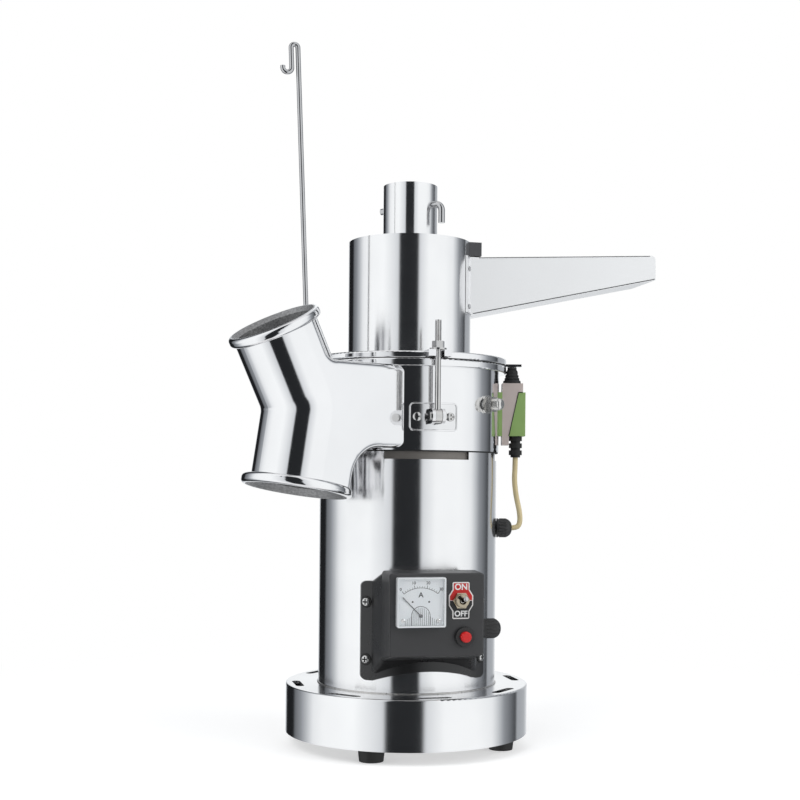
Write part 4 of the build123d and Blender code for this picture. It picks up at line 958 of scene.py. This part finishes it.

# %% [markdown]
# ## Screws and rivets
# Six screws with domed heads hold the latch plate and the control box, and four rivets hold the feed
# tray on the cylinder. The cross in a head could be a dark print, but it is cut as a real recess, so
# that it stays dark inside from any side. On the control box each recess also holds a flat black
# patch and each head sits on a black washer, both painted shade.

# %% Cross heads


def add_cross_head(shape, seat, radius, thick, steps=40):
    """A domed screw head with a cross recess; gives back the outline of a painted shade patch in the recess.
    """
    bands = ((1.0, 0.0), (1.0, 0.35), (0.94, 0.70), (0.76, 0.93))
    rings = [ring_of(shape, seat, radius * r, thick * height, steps) for r, height in bands]
    for low, high in zip(rings, rings[1:]):
        join_rings(shape, low, high)
    arm, half = radius * 0.64, radius * 0.17
    taper, depth, shade_share = 0.8, thick * 0.25, 0.84
    corners = []
    for x, y in ((arm, -half), (arm, half), (half, half)):
        corners += [(x, y), (-y, x), (-x, -y), (y, -x)]
    cross = [corners[quarter + 4 * corner] for quarter in range(4) for corner in range(3)]
    lips = [shape.verts.new(seat @ (Vector((x, y, thick)) * MM)) for x, y in cross]
    sunk = [shape.verts.new(seat @ (Vector((x * taper, y * taper, depth)) * MM)) for x, y in cross]
    turns = [2 * pi * step / steps for step in range(steps)]
    circle = [Vector((cos(turn), sin(turn), 0)) * radius * bands[-1][0] for turn in turns]
    around = rings[-1] + lips
    for face in tessellate_polygon([circle, [Vector((x, y, 0)) for x, y in cross]]):
        shape.faces.new([around[corner] for corner in face])
    join_rings(shape, lips, sunk)
    shape.faces.new(sunk)
    return [(x * shade_share, y * shade_share) for x, y in cross]


print("screw tool ready")

# %% Screws of the latch plate
latch_screw_aside = 16.0
shape = bmesh.new()
for side in (-1, 1):
    turn = latch_turn + side * degrees(asin(latch_screw_aside / plate_face))
    add_cross_head(shape, wall_seat(turn, plate_face, latch_up), radius=4.2, thick=2.2)
add_piece("latch_plate_screws", shape, "stand", "steel", stands_for="latch_screws")

# %% Screws, washers and painted shade on the seat of the control box
seat_face, box_up = 91.0, 120.0
box_screw_rise, box_screw_aside = 26.9, 55.8
shade_lift = 1.0
box_screw_turn = degrees(asin(box_screw_aside / seat_face))
washer = plain(((3.9, 0.0), (5.6, 0.0), (5.6, 0.5), (5.1, 0.9), (3.9, 0.9)))
shape, washer_shade, recess_shade = bmesh.new(), bmesh.new(), bmesh.new()
for turn in (-box_screw_turn, box_screw_turn):
    for up in (box_up - box_screw_rise, box_up + box_screw_rise):
        screw_seat = wall_seat(turn, seat_face, up)
        recess = add_cross_head(shape, screw_seat, radius=4.0, thick=2.4)
        # black washers under the heads: their black is painted shade at the joint
        add_turned(washer_shade, screw_seat, washer, 40, loop=True)
        # a black patch a little above each recess floor: painted shade inside the head
        add_patch(recess_shade, wall_seat(turn, seat_face + shade_lift, up), recess)
add_piece("box_seat_screws", shape, "stand", "steel", stands_for="box_screws")
add_piece("box_seat_washer_shade", washer_shade, "stand", "black_rubber")
add_piece("box_screw_recess_shade", recess_shade, "stand", "needle_black")

# %% Rivets of the tray
rivet_turns, rivet_heights, rivet_face = (56.1, 123.9), (469.5, 432.6), 62.8
rivet = plain(((2.7, -0.6), (2.7, 0.2), (2.4, 0.8), (1.7, 1.2), (0.7, 1.4)))
shape = bmesh.new()
for turn in rivet_turns:
    for up in rivet_heights:
        add_turned(shape, wall_seat(turn, rivet_face, up), rivet, 24)
add_piece("tray_rivets", shape, "lid", "steel", "rod_polish")

# %% [markdown]
# ## Cable glands, collar and boot
# The glands are black nylon nuts with a ribbed grip and a rounded nose, the reset button sits in a
# knurled collar, and a soft bellows of rubber keeps dust out of the safety switch. They could be
# sculpted, but all are round mouldings, so the turning tool makes them, with lobes for the ribs and
# a waved profile for the bellows. The real bellows is squashed when the plunger goes down; here it
# stands at rest.

# %% Cable glands
gland_ribs, gland_steps = 16, 96
gland_face = 88.8
box_gland_spot = Vector((49.5, -86.5, 121.7))
nose_shift = 6.0
grip_and_nose = (
    (9.5, 2.8, 0.9), (9.5, 9.0, 0.9), (9.2, 9.8, 0.7), (8.4, 11.5, 0.35), (7.0, 13.2, 0.1),
    (5.3, 14.4, 0), (4.0, 14.9, 0), (3.1, 15.0, 0), (2.66, 14.6, 0), (2.66, 10.0, 0),
)
short_neck = plain(((7.0, -3.0), (7.0, 0.0), (9.5, 0.0), (9.5, 1.4), (9.0, 1.7), (9.0, 2.4)))
long_neck = plain(((7.0, -11.5), (7.0, 0.0), (9.5, 0.0), (9.5, 5.0), (9.0, 5.4), (9.0, 6.4)))
shape = bmesh.new()
gland_seat = wall_seat(switch_turn, gland_face, gland_up)
add_turned(shape, gland_seat, short_neck + grip_and_nose, gland_steps, gland_ribs)
add_piece("motor_cable_gland", shape, "stand", "black_plastic", stands_for="motor_gland")
side_seat = Matrix((Vector((0, 1, 0)), UP, Vector((1, 0, 0)))).transposed().to_4x4()
side_seat.translation = box_gland_spot * MM
far_nose = tuple((r, height + nose_shift, ripple) for r, height, ripple in grip_and_nose)
shape = bmesh.new()
add_turned(shape, side_seat, long_neck + far_nose, gland_steps, gland_ribs)
add_piece("box_cable_gland", shape, "stand", "black_plastic", stands_for="box_gland")

# %% Collar of the reset button
panel_face, reset_up, reset_aside = 122.0, 118.7, 25.9
grip = ((8.65, 0.1, 0), (9.1, 0.5, 0.45), (9.1, 3.5, 0.45), (8.65, 3.95, 0))
shape = bmesh.new()
add_turned(shape, wall_seat(0, panel_face, reset_up, reset_aside), grip, steps=112, lobes=28, loop=True)
add_piece("reset_collar_grip", shape, "stand", "black_plastic")

# %% Bellows of the safety switch
bellows = plain((
    (3.06, 0.0), (8.8, 0.0), (8.8, 2.2), (8.3, 3.0), (7.3, 3.5), (7.1, 4.0), (7.6, 4.7), (7.1, 5.6),
    (6.5, 6.2), (6.4, 6.8), (6.9, 7.6), (6.4, 8.5), (5.8, 9.1), (5.7, 9.8), (6.0, 10.6), (5.5, 12.6),
    (4.8, 13.7), (4.2, 14.1), (3.06, 14.1),
))
low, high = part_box("switch_boot")
boot_spot = Vector(((low[0] + high[0]) / 2, (low[1] + high[1]) / 2, low[2]))
shape = bmesh.new()
add_turned(shape, Matrix.Translation(boot_spot), bellows, 48, loop=True)
boot = add_piece("switch_bellows", shape, "stand", "black_rubber", stands_for="switch_boot")
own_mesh(boot)

# %% [markdown]
# ## Printed dial and sign
# The ammeter has a printed scale and the toggle a small two-coloured sign with plain ON and OFF.
# Print could be a texture, but flat shapes a few hundredths of a millimetre above the plate stay
# crisp and need no image. The numbers and words are text curves that are turned into meshes.

# %% Inks
add_finishes(
    moulded_finish,
    ("ink_black", (0.012, 0.012, 0.013), (0.022, 0.022, 0.023), 0.45, fine_grain, 0.01),
    ("ink_red", (0.48, 0.014, 0.012), (0.58, 0.020, 0.018), 0.35, fine_grain, 0.01),
    ("ink_white", (0.80, 0.80, 0.80), (0.86, 0.86, 0.86), 0.45, fine_grain, 0.01),
)

# %% Printing tools


def add_strip(shape, seat, points, width):
    """Lay a flat line of even width along points, in millimetres."""
    rows = []
    for number, point in enumerate(points):
        ahead = Vector(points[min(number + 1, len(points) - 1)])
        run = (ahead - Vector(points[max(number - 1, 0)])).normalized()
        side = Vector((-run.y, run.x)) * width / 2
        ends = (Vector(point) - side, Vector(point) + side)
        rows.append([shape.verts.new(seat @ (Vector((end.x, end.y, 0)) * MM)) for end in ends])
    for one, two in zip(rows, rows[1:]):
        shape.faces.new((one[0], two[0], two[1], one[1]))


def add_words(shape, seat, words, size, x, y, bold=0.0):
    """Print words centred on a spot of the seat, fattened by the bold width."""
    letters = bpy.data.curves.new("letters", "FONT")
    letters.body = words
    letters.size = size * MM
    letters.offset = bold * MM
    letters.align_x = "CENTER"
    letters.align_y = "CENTER"
    holder = bpy.data.objects.new("letters", letters)
    bpy.context.scene.collection.objects.link(holder)
    flat = bpy.data.meshes.new_from_object(holder.evaluated_get(bpy.context.evaluated_depsgraph_get()))
    flat.transform(seat @ Matrix.Translation(Vector((x, y, 0)) * MM))
    shape.from_mesh(flat)
    bpy.data.objects.remove(holder)
    bpy.data.curves.remove(letters)
    bpy.data.meshes.remove(flat)


def on_arc(radius, turn):
    """Point at a radius from the seat's origin, in degrees from straight up, positive to the right."""
    return radius * sin(radians(turn)), radius * cos(radians(turn))


def arc_points(radius, first, last, count):
    """Points on an arc about the seat's origin."""
    return [on_arc(radius, first + (last - first) * number / count) for number in range(count + 1)]


print("printing tools ready")

# %% Scale of the ammeter
dial_face, dial_up, dial_aside = 124.83, 138.2, -15.9
scale_half, scale_r, number_r = 38, 25.5, 30.6
dial = wall_seat(0, dial_face, dial_up, dial_aside)
shape = bmesh.new()
add_strip(shape, dial, arc_points(scale_r, -scale_half, scale_half, 36), 0.45)
for number in range(16):
    turn = -scale_half + 2 * scale_half * number / 15
    tip, width = (28.4, 0.5) if number % 5 == 0 else (27.2, 0.3)
    add_strip(shape, dial, [on_arc(scale_r, turn), on_arc(tip, turn)], width)
for number, words in enumerate(("0", "10", "20", "30")):
    x, y = on_arc(number_r, -scale_half + 2 * scale_half * number / 3)
    add_words(shape, dial, words, 3.8, x, y, bold=0.06)
add_words(shape, dial, "A", size=6.6, x=0, y=19.0, bold=0.12)
print("scale from 0 to 30")

# %% Hatched arch and screws of the dial
arch_r, arch_low = 8.7, -9.0
hatch_start, hatch_step, hatch_count = -14.4, 1.8, 17
hatch_r, hatch_edge, hatch_gap, hatch_fall = 8.3, 8.2, 0.6, 0.6
dot_r, dot_aside, dot_up = 0.9, 7.7, 12.8
screw_face, screw_up, screw_aside = 124.8, 134.0, 16.5
arch = [(-arch_r, arch_low)] + arc_points(arch_r, -90, 90, 24) + [(arch_r, arch_low)]
add_strip(shape, dial, arch, 0.5)
for number in range(hatch_count):
    x = hatch_start + hatch_step * number
    inside_arch = abs(x) < hatch_edge
    top = sqrt(hatch_r**2 - x**2) - hatch_gap if inside_arch else hatch_fall * (hatch_edge - abs(x))
    add_strip(shape, dial, [(x, arch_low), (x, top)], 0.35)
turns = [2 * pi * step / 16 for step in range(16)]
for side in (-1, 1):
    add_patch(shape, dial, [(side * dot_aside + dot_r * cos(t), dot_up + dot_r * sin(t)) for t in turns])
add_piece("dial_print", shape, "stand", "needle_black", "ink_black")
shape = bmesh.new()
for side in (-1, 1):
    screw_seat = wall_seat(0, screw_face, screw_up, dial_aside + side * screw_aside)
    add_cross_head(shape, screw_seat, radius=1.9, thick=0.7, steps=24)
add_piece("dial_screws", shape, "stand", "steel")

# %% Sign of the toggle
sign_face, ink_lift = 122.83, 0.03
sign_hole, sign_gap = 6.3, 0.2
word_up, word_bold = 12.2, 0.22
half_sign = [(-10.5, sign_gap), (-10.5, 4.1), (-7.0, 9.6), (-7.0, 15.8)]
half_sign += [(-x, y) for x, y in half_sign[::-1]]
hole = [(sign_hole * cos(radians(turn)), sign_hole * sin(radians(turn))) for turn in range(2, 179, 8)]
half_sign += [(x, max(sign_gap, y)) for x, y in hole]
sign = wall_seat(0, sign_face, toggle_up, toggle_aside)
shape = bmesh.new()
add_patch(shape, sign, half_sign)
add_piece("sign_on_field", shape, "stand", "sign_red", "ink_red")
shape = bmesh.new()
add_patch(shape, sign, [(x, -y) for x, y in half_sign])
add_piece("sign_off_field", shape, "stand", "needle_black", "ink_black")
lettering = wall_seat(0, sign_face + ink_lift, toggle_up, toggle_aside)
shape = bmesh.new()
add_words(shape, lettering, "ON", 7.6, 0, word_up, word_bold)
add_words(shape, lettering, "OFF", 7.0, 0, -word_up, word_bold)
add_piece("sign_words", shape, "stand", "dial_white", "ink_white")
